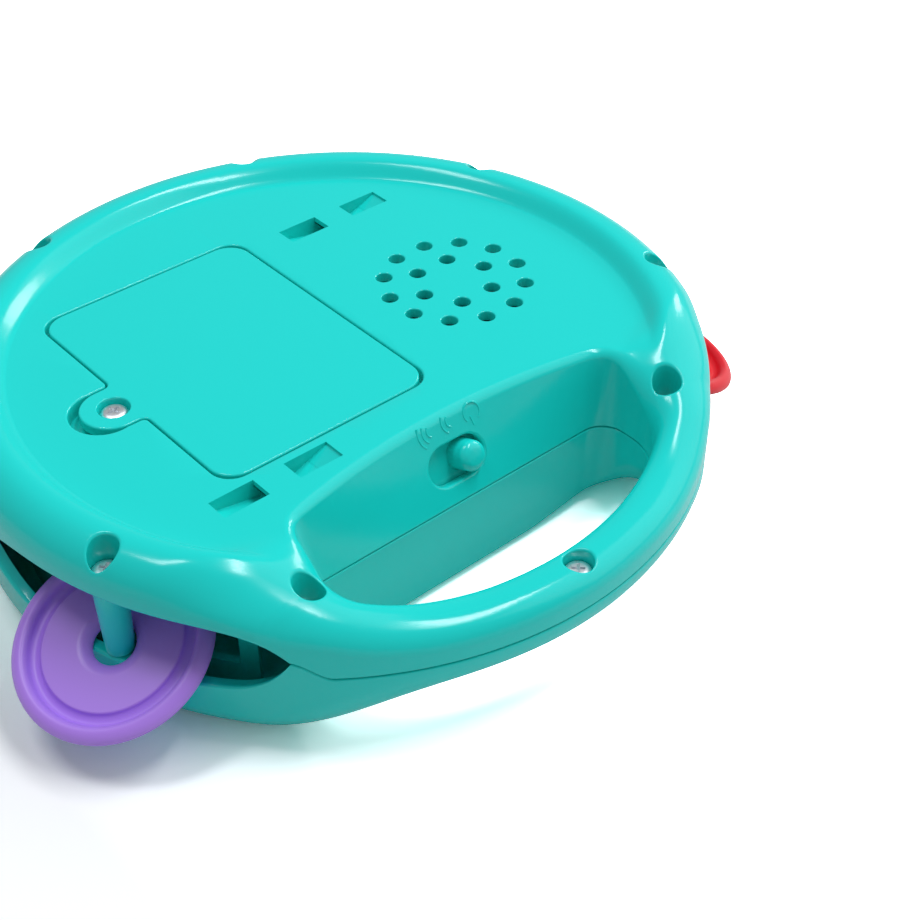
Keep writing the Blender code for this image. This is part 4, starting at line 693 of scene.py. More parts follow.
def tie_side(start, grow):
    """Side view of a passage: ramp, floor under the bridge, and ramp back up."""
    bridge = start.x + TIE_SLOT_LENGTH
    far = bridge + TIE_BRIDGE
    end = far + TIE_SLOT_LENGTH
    floor = PLATE_HEIGHT - TIE_DEPTH - grow
    roof = PLATE_HEIGHT - TIE_ROOF
    return [(start.x - grow, PLATE_HEIGHT - TIE_START_DEPTH - grow), (bridge, floor), (far, floor),
            (end + grow, PLATE_HEIGHT - TIE_END_DEPTH - grow), (end + grow, above), (far, above), (far, roof),
            (bridge, roof), (bridge, above), (start.x - grow, above)]


passages = bmesh.new()
tie_boxes = []
tie_half = TIE_SLOT_WIDTH / 2
tie_length = 2 * TIE_SLOT_LENGTH + TIE_BRIDGE
for start in TIE_STARTS:
    rings_mesh(bar_ends(tie_side(start, 0.0), start.y, tie_half), True, mesh_data=passages)
carve(back_shell, passages)
for start in TIE_STARTS:
    outline = box_outline(start.x - BAY_WALL, start.x + tie_length + BAY_WALL,
                          start.y - tie_half - BAY_WALL, start.y + tie_half + BAY_WALL)
    tie_box = new_piece("tie_box", prism(outline, PLATE_HEIGHT - TIE_DEPTH - BAY_WALL, frame_high))
    carve(tie_box, rings_mesh(bar_ends(tie_side(start, hidden), start.y, tie_half + hidden), True))
    tie_boxes.append(tie_box)

# Loudspeaker holes and switch slot of the back shell
# A ring of twelve and a ring of six small holes over the loudspeaker, and a round-ended slot in
# the leaning wall for the slide switch. The switch marks are thin raised lines.

SPEAKER_AT = Vector((0.0333, 0.0004))
SPEAKER_HOLE_RADIUS = 0.00175
SPEAKER_LIP = 0.0003
SPEAKER_RADIUS = 0.0180
SPEAKER_RINGS = ((0.0150, 12, 15.0), (0.0083, 6, 0.0))
SPEAKER_FACETS = 28
COLLAR_WALL = 0.0017
COLLAR_DEPTH = 0.003
SWITCH_X = 0.0016
SWITCH_DROP = 0.0094
SWITCH_SLOT_RADIUS = 0.0041
SWITCH_TRAVEL = 0.0054
SWITCH_SLOT_LIP = 0.0005
SLOT_LIP_STEPS = 5
HALVINGS = 20
MARK_WIDTH = 0.00042
MARK_HEIGHT = 0.00016
MARK_SECTION_SHARES = ((-0.5, -1.0), (-0.42, 0.4), (-0.2, 0.92), (0.2, 0.92), (0.42, 0.4), (0.5, -1.0))
MARK_STEPS = 16
SOUND_DROP = 0.0019
SOUND_HEADING = 193.0
SOUND_MARKS = ((-0.0021, ((0.0012, 56.0), (0.0023, 44.0), (0.0034, 38.0))),
               (0.0027, ((0.0012, 60.0), (0.0023, 46.0))))
POWER_RING = (0.0077, 0.0023, 0.0019, -50.0, 222.0)
POWER_STROKE_X = 0.0072
POWER_STROKE_STEP = 0.0001
POWER_STROKE_DROPS = (0.0029, 0.0048)
POWER_STROKE_STEPS = 4

speaker_holes = bmesh.new()
for ring_radius, count, first in SPEAKER_RINGS:
    for k in range(count):
        flared_hole(SPEAKER_AT + polar(ring_radius, first + 360.0 * k / count), SPEAKER_HOLE_RADIUS,
                    PLATE_HEIGHT - 2 * WALL, SPEAKER_LIP, plate_height, SPEAKER_FACETS, speaker_holes)
carve(back_shell, speaker_holes)


def wall_lean(x):
    return mix(OPENING_END_LEAN, OPENING_LEAN, 1 - (x / OPENING_HALF_WIDTH) ** 2)


def wall_point(x, drop):
    """A point of the leaning wall over the hand opening, by its place along it and below the plate."""
    y = -OPENING_CHORD + wall_lean(x) * (1 - drop / HANDLE_SEAM_DROP)
    return Vector((x, y, PLATE_HEIGHT - drop))


def switch_frame():
    """Place of the slide switch: X along the wall, Y up it, Z out of it."""
    tilt = math.atan2(wall_lean(SWITCH_X), HANDLE_SEAM_DROP)
    return Matrix.Translation(wall_point(SWITCH_X, SWITCH_DROP)) @ Matrix.Rotation(math.pi / 2 - tilt, 4, "X")


SWITCH_FRAME = switch_frame()


def stadium(half_length, radius, steps=14):
    right = arc_points(Vector((half_length, 0.0)), radius, -math.pi / 2, math.pi / 2, steps)
    left = arc_points(Vector((-half_length, 0.0)), radius, math.pi / 2, 1.5 * math.pi, steps)
    return right + left


def wall_rise(u, v):
    """How far the wall stands out of the switch's plane at a place in it."""
    low, high = -WALL, WALL
    for _ in range(HALVINGS):
        middle = (low + high) / 2
        point = SWITCH_FRAME @ Vector((u, v, middle))
        outside = point.y < wall_point(point.x, PLATE_HEIGHT - point.z).y
        low, high = (low, middle) if outside else (middle, high)
    return (low + high) / 2


slot_rings = [lifted(stadium(SWITCH_TRAVEL / 2, SWITCH_SLOT_RADIUS), -2 * WALL)]
for outwards, downwards in quarter_round(SLOT_LIP_STEPS):
    outline = stadium(SWITCH_TRAVEL / 2, SWITCH_SLOT_RADIUS + SWITCH_SLOT_LIP * outwards)
    slot_rings.append([Vector((p.x, p.y, wall_rise(p.x, p.y) - SWITCH_SLOT_LIP * downwards))
                       for p in outline])
slot_rings.append(lifted(stadium(SWITCH_TRAVEL / 2, SWITCH_SLOT_RADIUS + SWITCH_SLOT_LIP), WALL))
slot_cut = rings_mesh(slot_rings, True)
bmesh.ops.transform(slot_cut, matrix=SWITCH_FRAME, verts=slot_cut.verts[:])
carve(back_shell, slot_cut)


def raised_line(points, mesh_data):
    """A thin raised line on the leaning wall, along points given by place and drop."""
    rings = []
    for k, (x, drop) in enumerate(points):
        before = wall_point(*points[max(0, k - 1)])
        after = wall_point(*points[min(len(points) - 1, k + 1)])
        here = wall_point(x, drop)
        up_wall = wall_point(x, drop - GAP) - here
        normal = (wall_point(x + GAP, drop) - here).cross(up_wall).normalized()
        side = normal.cross(after - before).normalized()
        rings.append([here + side * (MARK_WIDTH * wide) + normal * (MARK_HEIGHT * high)
                      for wide, high in MARK_SECTION_SHARES])
    return rings_mesh(rings, True, mesh_data=mesh_data)


def arc_mark(x, drop, radius, first, last, mesh_data):
    turns = [math.radians(mix(first, last, k / MARK_STEPS)) for k in range(MARK_STEPS + 1)]
    raised_line([(x + radius * math.cos(turn), drop - radius * math.sin(turn)) for turn in turns], mesh_data)


marks = bmesh.new()
for centre_x, arcs in SOUND_MARKS:
    for radius, half_sweep in arcs:
        arc_mark(centre_x, SOUND_DROP, radius, SOUND_HEADING - half_sweep, SOUND_HEADING + half_sweep, marks)
arc_mark(*POWER_RING, marks)
raised_line([(POWER_STROKE_X + POWER_STROKE_STEP * k, mix(*POWER_STROKE_DROPS, k / POWER_STROKE_STEPS))
             for k in range(POWER_STROKE_STEPS + 1)], marks)
collar_low = PLATE_HEIGHT - WALL - COLLAR_DEPTH
collar = turned([(SPEAKER_RADIUS + GAP, collar_low), (SPEAKER_RADIUS + COLLAR_WALL, collar_low),
                 (SPEAKER_RADIUS + COLLAR_WALL, frame_high), (SPEAKER_RADIUS + GAP, frame_high)],
                DISH_FACETS, True, centre=SPEAKER_AT)
join_pieces(back_shell, [battery_bay, *tie_boxes, new_piece("boss", door_boss), new_piece("tubes", tubes),
                         new_piece("marks", marks), new_piece("collar", collar)])


def linear(hex_colour):
    """sRGB hex to a linear colour with alpha."""
    shares = [int(hex_colour[k:k + 2], 16) / 255 for k in (1, 3, 5)]
    return (*[s / 12.92 if s <= 0.04045 else ((s + 0.055) / 1.055) ** 2.4 for s in shares], 1.0)


def add_node(material, kind, inputs=(), **settings):
    """Add a node, to a material or the world, with its settings, its values and its links."""
    node = material.node_tree.nodes.new(kind)
    for name, value in settings.items():
        setattr(node, name, value)
    for name, value in dict(inputs).items():
        if isinstance(value, bpy.types.NodeSocket):
            material.node_tree.links.new(value, node.inputs[name])
        else:
            node.inputs[name].default_value = value
    return node


def new_material(name, values):
    """A material whose shader has these values; also its shader, and places on the piece."""
    material = bpy.data.materials.new(name)
    material.use_nodes = True
    shader = material.node_tree.nodes["Principled BSDF"]
    for socket, value in values.items():
        shader.inputs[socket].default_value = value
    return material, shader, add_node(material, "ShaderNodeTexCoord").outputs["Object"]


def moulded_plastic(name, colour, roughness, ior, wave_mm, wave_depth_mm, specular=0.5):
    """Moulded plastic: even colour, gloss, and the faint waviness that shrinking leaves in it."""
    material, shader, place = new_material(name, {"Base Color": linear(colour), "Roughness": roughness,
                                                  "IOR": ior, "Specular IOR Level": specular})
    wave = add_node(material, "ShaderNodeTexNoise", {"Vector": place, "Scale": 1000.0 / wave_mm,
                                                     "Detail": 1.0})
    bump = add_node(material, "ShaderNodeBump", {"Height": wave.outputs["Fac"], "Strength": 1.0,
                                                 "Distance": wave_depth_mm / 1000.0})
    material.node_tree.links.new(bump.outputs["Normal"], shader.inputs["Normal"])
    return material


# Teal ABS, injection moulded in a polished tool: even colour with clear, slightly soft highlights
teal_abs = moulded_plastic("teal_abs_polished_mould", TEAL, roughness=0.17, ior=1.46, wave_mm=9.0,
                           wave_depth_mm=0.02, specular=0.45)
smooth_finish(back_shell, teal_abs)
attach(back_shell, "body")
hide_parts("back_shell")

# Front shell
# The second teal ABS moulding, a shallow bowl under the rim and the handle bar. Its windows let
# the jingles out, and a ring wall behind them closes off the works.

FRONT_ROUND = 0.0082
FRONT_DRAFT = 0.12
WINDOW_DEPTH = 0.0087
BAR_BOTTOM_LIFT = 0.0117
BAR_LIFT_START = 0.0465
BAR_LIFT_END = 0.0705
INNER_LIFT_REACH = 0.014
BAR_LOW_ROUND = 0.0066
BAR_LOW_OUT = 0.0055
BAR_LOW_IN = 0.0042
BAR_LOW_START = 0.0435
BAR_LOW_END = 0.0645
RING_WALL_RADIUS = 0.0668
RING_WALL_THICKNESS = 0.0015
RING_WALL_DROP = 0.0042
RING_NOTCH_DROP = 0.0245
RING_NOTCH_HALF = 17.0
RING_END_ANGLE = 40.0
DRUM_AT = Vector((0.0, 0.0135))
DRUM_HOLE_RADIUS = 0.0430
DRUM_HOLE_LIP = 0.0004
DRUM_FACETS = 128
TRAY_HEIGHT = 0.0112
TRAY_SCREW_LENGTH = 0.0050
TRAY_BOSS_RADIUS = 0.0027
TRAY_SCREW_CIRCLE = 0.0510
TRAY_SCREW_ANGLES = (35.0, 145.0, 215.0, -35.0)
INNER_LIFT_HEADINGS = (-0.3, 0.62)
WALL_STEP_DEGREES = 3
FRONT_SKIN_STEPS = (12, 6)
ROOM_STEPS = (8, 4)
FRONT_TOP = FRONT_FACE_HEIGHT + WALL
TRAY_SCREW_PLACES = [DRUM_AT + polar(TRAY_SCREW_CIRCLE, angle) for angle in TRAY_SCREW_ANGLES]


def front_level(ray, reach, inner_reach, flat_reach):
    """Height of the front face, which lifts under the handle, first beside the hand opening."""
    lift = blend(BAR_LIFT_START, BAR_LIFT_END, -ray.plan(reach).y)
    inner_lift = max(lift, 1.0 - blend(*INNER_LIFT_HEADINGS, ray.heading.y))
    away = (reach - inner_reach) / min(INNER_LIFT_REACH, flat_reach - inner_reach)
    return FRONT_FACE_HEIGHT + BAR_BOTTOM_LIFT * mix(inner_lift, lift, blend(0.0, 1.0, away))


def front_section(ray, inset, round_steps, flat_steps):
    """Outer (inset 0) or inner skin of the front shell along one ray, with a soft lip at both ends."""
    share = window_share(ray.rim_point)
    bar_share = blend(BAR_LOW_START, BAR_LOW_END, -ray.rim_point.y)
    end_share = blend(OPENING_CHORD, OPENING_CHORD + OPENING_END_BLEND, -ray.plan(ray.opening(0.0, False)).y)
    round_side = mix(FRONT_ROUND, BAR_LOW_OUT, bar_share)
    round_up = mix(FRONT_ROUND, BAR_LOW_ROUND, bar_share)
    inner_side = mix(OPENING_LOW_ROUND, BAR_LOW_IN, end_share)
    inner_up = mix(OPENING_LOW_ROUND, BAR_LOW_ROUND, end_share)
    seam = seam_height(ray.rim_point) - GAP / 2
    top_edge = seam - WINDOW_DEPTH * share
    lift = blend(BAR_LIFT_START, BAR_LIFT_END, -ray.rim_point.y)
    shoulder_height = FRONT_FACE_HEIGHT + BAR_BOTTOM_LIFT * lift + round_up
    draft = FRONT_DRAFT * (1 - bar_share)
    low_wall = ray.rim(BODY_RADIUS - inset - draft * (seam - shoulder_height))
    top_wall = BODY_RADIUS - inset - draft * (seam - top_edge)
    flat_reach = ray.rim(BODY_RADIUS - round_side - draft * (seam - shoulder_height))
    shoulder = ray.place(low_wall, shoulder_height)
    inner_reach = ray.opening(max(inner_side, inset + OPENING_LOW_ROUND), False)
    flat_height = front_level(ray, flat_reach, inner_reach, flat_reach) + inset
    lip = 0.0 if inset else mix(SEAM_LIP, WINDOW_LIP, min(1.0, 2 * share))
    points = [ray.place(ray.rim(top_wall - lip), top_edge)]
    if lip:
        points += corner_curve(points[0], ray.place(ray.rim(top_wall), top_edge),
                               ray.place(ray.rim(top_wall), top_edge - lip), LIP_STEPS)
    points.append(shoulder)
    points += corner_curve(shoulder, ray.place(low_wall, flat_height), ray.place(flat_reach, flat_height),
                           round_steps)
    for step in range(1, flat_steps + 1):
        reach = mix(inner_reach, flat_reach, (1 - step / flat_steps) ** 2)
        points.append(ray.place(reach, front_level(ray, reach, inner_reach, flat_reach) + inset))
    wall_reach = ray.opening(inset, False)
    low_height = points[-1].z
    points += corner_curve(points[-1], ray.place(wall_reach, low_height),
                           ray.place(wall_reach, low_height + max(inner_up - inset, OPENING_LOW_ROUND)),
                           round_steps)
    high = HANDLE_SEAM - GAP / 2
    if inset:
        points.append(ray.place(wall_reach, high))
    else:
        points.append(ray.place(wall_reach, high - SEAM_LIP))
        lip_end = ray.place(ray.opening(SEAM_LIP, False), high)
        points += corner_curve(points[-1], ray.place(wall_reach, high), lip_end, LIP_STEPS)
    return points


def ring_wall(mesh_data):
    """Wall behind the windows, low where a jingle reaches in."""
    edges = [-RING_END_ANGLE]
    for angle in JINGLE_ANGLES.values():
        edges += [angle - RING_NOTCH_HALF, angle + RING_NOTCH_HALF]
    edges.append(180.0 + RING_END_ANGLE)
    edges.sort()
    for k, (start, end) in enumerate(zip(edges, edges[1:])):
        low = FRONT_TOP - GAP
        top = PLATE_HEIGHT - (RING_WALL_DROP if k % 2 == 0 else RING_NOTCH_DROP)
        steps = max(2, round((end - start) / WALL_STEP_DEGREES))
        sections = []
        for step in range(steps + 1):
            near = polar(RING_WALL_RADIUS - RING_WALL_THICKNESS, mix(start, end, step / steps))
            far = polar(RING_WALL_RADIUS, mix(start, end, step / steps))
            sections.append([Vector((*near, low)), Vector((*far, low)),
                             Vector((*far, top)), Vector((*near, top))])
        rings_mesh(sections, True, mesh_data=mesh_data)
    return mesh_data


front_shell = new_piece("shell_front", shell_skin(front_section, FRONT_SKIN_STEPS, INNER_SKIN_STEPS))
hole_lip = [(DRUM_HOLE_RADIUS + DRUM_HOLE_LIP * outwards, FRONT_FACE_HEIGHT + DRUM_HOLE_LIP * upwards)
            for upwards, outwards in quarter_round(LIP_STEPS)]
carve(front_shell, turned([(hole_lip[0][0], FRONT_FACE_HEIGHT - WALL)] + hole_lip
                          + [(DRUM_HOLE_RADIUS, FRONT_TOP + WALL)], DRUM_FACETS, False, centre=DRUM_AT))
columns = bmesh.new()
for screw_name, place, seat, length, foot in WELLS:
    tip = seat - length - GAP
    low = height_over(place, front_section, FRONT_SKIN_STEPS, LIP_STEPS + 2) + WALL / 2
    turned([(POST_TOP_RADIUS, low), (POST_TOP_RADIUS, foot - GAP), (SCREW_HOLE_RADIUS, foot - GAP),
            (SCREW_HOLE_RADIUS, max(tip, low))], HOLE_FACETS, True, columns, place)
columns = new_piece("columns", columns)
# The columns end inside the shell's floor and walls, so they are cut to its middle surface
room = [front_section(ray, WALL / 2, *ROOM_STEPS) for ray in RAYS]
for outline in room:
    outline[0].z = PLATE_HEIGHT
    outline[-1].z = PLATE_HEIGHT
carve(columns, rings_mesh(room, False, True), "INTERSECT")
works = ring_wall(bmesh.new())
for place in TRAY_SCREW_PLACES:
    turned([(TRAY_BOSS_RADIUS, FRONT_TOP - GAP), (TRAY_BOSS_RADIUS, TRAY_HEIGHT - GAP),
            (SCREW_HOLE_RADIUS, TRAY_HEIGHT - GAP),
            (SCREW_HOLE_RADIUS, TRAY_HEIGHT - TRAY_SCREW_LENGTH - GAP)], HOLE_FACETS, True, works, place)
join_pieces(front_shell, [new_piece("works", works), columns])
smooth_finish(front_shell, teal_abs)
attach(front_shell, "body")
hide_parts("front_shell")

# Battery door
# A flat teal ABS lid that drops into the framed recess, with a round tab whose boss takes the
# head of its screw. All its upper edges are slightly rounded.

DOOR_SCREW_DEPTH = 0.0023
DOOR_TAB_BOSS_DEPTH = 0.0031
DOOR_TAB_BOSS_RADIUS = 0.0041
DOOR_SINK_RADIUS = 0.0032
DOOR_SINK_LIP = 0.0003
DOOR_BORE_FACETS = 24
DOOR_SCREW_SEAT = PLATE_HEIGHT - DOOR_SCREW_DEPTH
door_profile = [(0.0, door_low)]
door_profile += [(-DOOR_EDGE * inwards, PLATE_HEIGHT - DOOR_EDGE * downwards)
                 for inwards, downwards in quarter_round(LIP_STEPS)]
battery_door = new_piece("door", rings_mesh(
    [lifted(door_outline(grow, DOOR_CORNER), z) for grow, z in door_profile], True))
tab_boss = circle_outline(door_screw_at, DOOR_TAB_BOSS_RADIUS, WELL_FACETS)
door_middle = PLATE_HEIGHT - DOOR_THICKNESS / 2
carve(battery_door, prism(tab_boss, PLATE_HEIGHT - DOOR_TAB_BOSS_DEPTH, door_middle), "UNION")
carve(battery_door, flared_hole(door_screw_at, DOOR_SINK_RADIUS, DOOR_SCREW_SEAT, DOOR_SINK_LIP, plate_height,
                                WELL_FACETS, bmesh.new()))
carve(battery_door, round_block(door_screw_at, SCREW_HOLE_RADIUS, PLATE_HEIGHT - 2 * DOOR_THICKNESS,
                                PLATE_HEIGHT, DOOR_BORE_FACETS))
smooth_finish(battery_door, teal_abs)
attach(battery_door, "battery_door")
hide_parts("battery_door")

# Screws
# Small pan-head tapping screws with a cross recess, bright zinc on steel. Cold headed and rolled,
# so the head is smooth and the thread has soft crests.

SCREW_CORE = 0.00095
SCREW_RADIUS = 0.0013
SCREW_HEAD_RADIUS = 0.0026
SCREW_HEAD_HEIGHT = 0.0015
SCREW_PITCH = 0.0011
SCREW_FACETS = 28
THREAD_STEPS = 6
THREAD_STEEPNESS = 2.2
CROWN_SHARE = 0.45
CROWN_STEPS = 8
CROSS_FOOT = (0.0004, 0.00022, -0.0013)
CROSS_RIM = (0.00125, 0.00030, -0.0002)
CROSS_OVER = (0.0014, 0.00031, WALL)
TRAY_SCREW_SEAT = 0.0130
CASE_TURN, CASE_TURN_STEP = 20.0, 37.0
TRAY_TURN, TRAY_TURN_STEP = 15.0, 50.0
DOOR_TURN = 12.0


def screw_mesh(name, length):
    """Head and shank with its seat at zero, then the tapered cross recess cut out."""
    under = GAP / 2
    crown = under + SCREW_HEAD_HEIGHT
    rings = [circle(GAP, -length, SCREW_FACETS)]
    count = round((length - SCREW_PITCH) / SCREW_PITCH * THREAD_STEPS)
    for step in range(count + 1):
        z = mix(-length + SCREW_PITCH, -GAP, step / count)
        ring = []
        for k in range(SCREW_FACETS):
            wave = abs((z / SCREW_PITCH - k / SCREW_FACETS) % 1.0 - 0.5) * 2
            radius = mix(SCREW_CORE, SCREW_RADIUS, max(0.0, 1 - THREAD_STEEPNESS * wave))
            ring.append(Vector((*polar(radius, 360.0 * k / SCREW_FACETS), z)))
        rings.append(ring)
    rings.append(circle(SCREW_RADIUS, under, SCREW_FACETS))
    dome = section_line((SCREW_HEAD_RADIUS - GAP / 2, under), (SCREW_HEAD_RADIUS, under + GAP / 2),
                        (SCREW_HEAD_RADIUS, mix(under, crown, CROWN_SHARE)),
                        ((SCREW_HEAD_RADIUS, crown), (SCREW_HEAD_RADIUS * CROWN_SHARE, crown), CROWN_STEPS))
    rings += [circle(point.x, point.y, SCREW_FACETS) for point in dome]
    piece = new_piece(name, rings_mesh(rings, True))
    for turn in (0.0, math.pi / 2):
        blade = [[Matrix.Rotation(turn, 3, "Z") @ Vector((x * reach, y * wide, crown + rise))
                  for x, y in ((-1, -1), (1, -1), (1, 1), (-1, 1))]
                 for reach, wide, rise in (CROSS_FOOT, CROSS_RIM, CROSS_OVER)]
        carve(piece, rings_mesh(blade, True))
    piece.data.transform(Matrix.Translation(-TO_MIDDLE))
    mesh = piece.data
    mesh.shade_smooth()
    mesh.set_sharp_from_angle(angle=math.radians(SHARP_DEGREES))
    bpy.data.objects.remove(piece)
    return mesh


def plated_metal(name, colour, roughness, grain_mm):
    """Plated metal with a fine crystalline unevenness in its gloss."""
    material, shader, place = new_material(name, {"Base Color": linear(colour), "Metallic": 1.0})
    grain = add_node(material, "ShaderNodeTexNoise", {"Vector": place, "Scale": 1000.0 / grain_mm,
                                                      "Detail": 3.0})
    gloss = add_node(material, "ShaderNodeMapRange", {"Value": grain.outputs["Fac"],
                                                      "To Min": roughness * 0.7, "To Max": roughness * 1.3})
    material.node_tree.links.new(gloss.outputs["Result"], shader.inputs["Roughness"])
    return material


# Bright zinc plate on cold-headed steel: cool and mirror-like, with slightly uneven gloss
zinc_plate = plated_metal("zinc_plated_steel", "#F3F6FA", roughness=0.38, grain_mm=0.6)
SCREW_LENGTHS = (POST_SCREW_LENGTH, CASE_SCREW_LENGTH, BAR_SCREW_LENGTH, TRAY_SCREW_LENGTH)
screw_kinds = {length: screw_mesh(f"screw_{round(length * 10000)}", length) for length in SCREW_LENGTHS}
for mesh in screw_kinds.values():
    mesh.materials.append(zinc_plate)


def put_screw(node, plan, seat, length, degrees, body="body"):
    piece = bpy.data.objects.new("fine_" + node, screw_kinds[length])
    bpy.context.scene.collection.objects.link(piece)
    piece.location = Vector((plan.x, plan.y, seat)) + TO_MIDDLE
    piece.rotation_euler = (0.0, 0.0, math.radians(degrees))
    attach(piece, body)
    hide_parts(node)


for k, (screw_name, place, seat, length, foot) in enumerate(WELLS):
    put_screw(screw_name, place, seat, length, CASE_TURN + CASE_TURN_STEP * k)
for k, place in enumerate(TRAY_SCREW_PLACES):
    put_screw(f"tray_screw_{k + 1}", place, TRAY_SCREW_SEAT, TRAY_SCREW_LENGTH,
              TRAY_TURN + TRAY_TURN_STEP * k)
put_screw("battery_door_screw", door_screw_at, DOOR_SCREW_SEAT, CASE_SCREW_LENGTH, DOOR_TURN, "battery_door")

# Jingles
# Plastic discs moulded in bright satin colours, with a rolled edge, a groove and a dished hole.
# Each hangs on its post and sags outwards over the sill of its window.

JINGLE_RADIUS = 0.0193
JINGLE_HOLE = 0.0042
JINGLE_TILT = 25.0
JINGLE_SHIFT_OUT = 0.0009
JINGLE_SHIFT_SIDE = 0.0007
JINGLE_HEIGHT = 0.0171
JINGLE_FACETS = 128
JINGLE_SHARP_DEGREES = 50.0
JINGLE_SECTION = (
    (0.0044, -0.0004), ((0.0053, 0.0007), (0.0068, 0.0007), 8), (0.0133, 0.0007),
    ((0.0136, 0.0007), (0.0137, 0.0004), 4), ((0.0139, -0.0004), (0.0151, -0.0004), 7),
    ((0.0159, -0.0004), (0.0160, 0.0006), 5), ((0.0161, 0.0019), (0.0172, 0.0019), 6),
    ((0.0192, 0.0017), (JINGLE_RADIUS, 0.0001), 12), ((0.0192, -0.0009), (0.0183, -0.0009), 6),
    (0.0140, -0.0009), ((0.0133, -0.0009), (0.0127, -0.0005), 4), (0.0066, -0.0005), (0.0058, -0.0009),
    (JINGLE_HOLE, -0.0009))
JINGLE_COLOURS = {"jingle_left": ("#BC8AFB", "purple"), "jingle_right": ("#E60C24", "red"),
                  "jingle_top_left": ("#F8C22A", "yellow"), "jingle_top_right": ("#F98A2B", "orange")}

# The section runs from the hole over the dish, the web, the groove and the rolled edge, and back
# underneath
jingle_profile = section_line((JINGLE_HOLE, -0.0006), *JINGLE_SECTION)
for node, angle in JINGLE_ANGLES.items():
    colour, shade = JINGLE_COLOURS[node]
    jingle = new_piece("disc_" + node, turned(jingle_profile, JINGLE_FACETS, True))
    jingle.data.transform(Matrix.Translation(-TO_MIDDLE))
    outwards = polar(1.0, angle)
    side = polar(1.0, angle + (90.0 if outwards.x > 0 else -90.0))
    centre = (POST_CIRCLE + JINGLE_SHIFT_OUT) * outwards + JINGLE_SHIFT_SIDE * side
    turn = Matrix.Rotation(math.radians(JINGLE_TILT), 4, Vector((-outwards.y, outwards.x, 0.0)))
    jingle.matrix_world = Matrix.Translation(Vector((centre.x, centre.y, JINGLE_HEIGHT)) + TO_MIDDLE) @ turn
    # Coloured ABS from a lightly textured tool: satin, with broad soft highlights
    satin_abs = moulded_plastic(f"{shade}_abs_satin_mould", colour, roughness=0.38, ior=1.54, wave_mm=3.0,
                                wave_depth_mm=0.006)
    smooth_finish(jingle, satin_abs, JINGLE_SHARP_DEGREES)
    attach(jingle, node)
    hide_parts(node)

# Slide switch
# A teal ABS knob with a rounded end on a plate that closes its slot from behind. It pushes the
# lever of a small tinned-steel slide switch.

SWITCH_KNOB_RADIUS = 0.0032
SWITCH_KNOB_HEIGHT = 0.0028
KNOB_PLATE_THICKNESS = 0.001
KNOB_PLATE_OVERLAP = 0.0009
KNOB_DRAFT = 0.0001
KNOB_ROUND = 0.0016
KNOB_TOP_SHARE = 0.45
KNOB_FACETS = 56
KNOB_ROUND_STEPS = 10

plate_front = -WALL - GAP
knob = prism(stadium(SWITCH_TRAVEL, SWITCH_SLOT_RADIUS + KNOB_PLATE_OVERLAP),
             plate_front - KNOB_PLATE_THICKNESS, plate_front)
knob_profile = section_line(
    (SWITCH_KNOB_RADIUS + GAP, -WALL - 2 * GAP), (SWITCH_KNOB_RADIUS, -WALL),
    (SWITCH_KNOB_RADIUS - KNOB_DRAFT, SWITCH_KNOB_HEIGHT - KNOB_ROUND),
    ((SWITCH_KNOB_RADIUS - 2 * KNOB_DRAFT, SWITCH_KNOB_HEIGHT - 2 * KNOB_DRAFT),
     (SWITCH_KNOB_RADIUS * KNOB_TOP_SHARE, SWITCH_KNOB_HEIGHT - KNOB_DRAFT), KNOB_ROUND_STEPS),
    (GAP, SWITCH_KNOB_HEIGHT))
turned(knob_profile, KNOB_FACETS, False, knob)
switch_knob = new_piece("knob", knob)
switch_knob.data.transform(Matrix.Translation(-TO_MIDDLE))
at_rest = Matrix.Translation((SWITCH_TRAVEL / 2, 0.0, 0.0))
switch_knob.matrix_world = Matrix.Translation(TO_MIDDLE) @ SWITCH_FRAME @ at_rest
smooth_finish(switch_knob, teal_abs)
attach(switch_knob, "switch_knob")
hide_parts("switch_knob")


def dress(node, material):
    """Give a CAD piece its finish."""
    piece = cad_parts[node]
    piece.data.materials.clear()
    piece.data.materials.append(material)


# Black acetal lever, and a tinned steel can on the switch's board
black_acetal = moulded_plastic("black_acetal_moulded", "#18191B", roughness=0.45, ior=1.48, wave_mm=2.0,
                               wave_depth_mm=0.004)
tinned_steel = plated_metal("tinned_steel", "#D9D6CE", roughness=0.28, grain_mm=0.9)
dress("switch_lever", black_acetal)
dress("switch_body", tinned_steel)

# Boards
# Glass-fibre boards under green solder resist, which is glossy and shows the weave faintly. The
# switch sits on the small one, and the sound chip and the pad's key on the large one.

THREAD_GREEN = "#0E6A35"


def solder_resist(name, colour, thread_mm):
    """Green lacquer over woven glass: glossy, with the two tones of its threads."""
    material, shader, place = new_material(name, {"Roughness": 0.32, "IOR": 1.55})
    weave = add_node(material, "ShaderNodeTexChecker",
                     {"Vector": place, "Scale": 1000.0 / thread_mm, "Color1": linear(colour),
                      "Color2": linear(THREAD_GREEN)})
    material.node_tree.links.new(weave.outputs["Color"], shader.inputs["Base Color"])
    return material


# Green solder resist on glass fibre: a glossy green with a faint weave
green_board = solder_resist("green_solder_resist", "#11753C", thread_mm=0.8)
dress("switch_board", green_board)
dress("circuit_board", green_board)
dress("sound_chip", black_acetal)
dress("pad_key", black_acetal)

# Loudspeaker
# A small loudspeaker under its ring of holes: a cone of black paper pulp in a frame pressed from
# nickel-plated steel, with a plated magnet behind it.


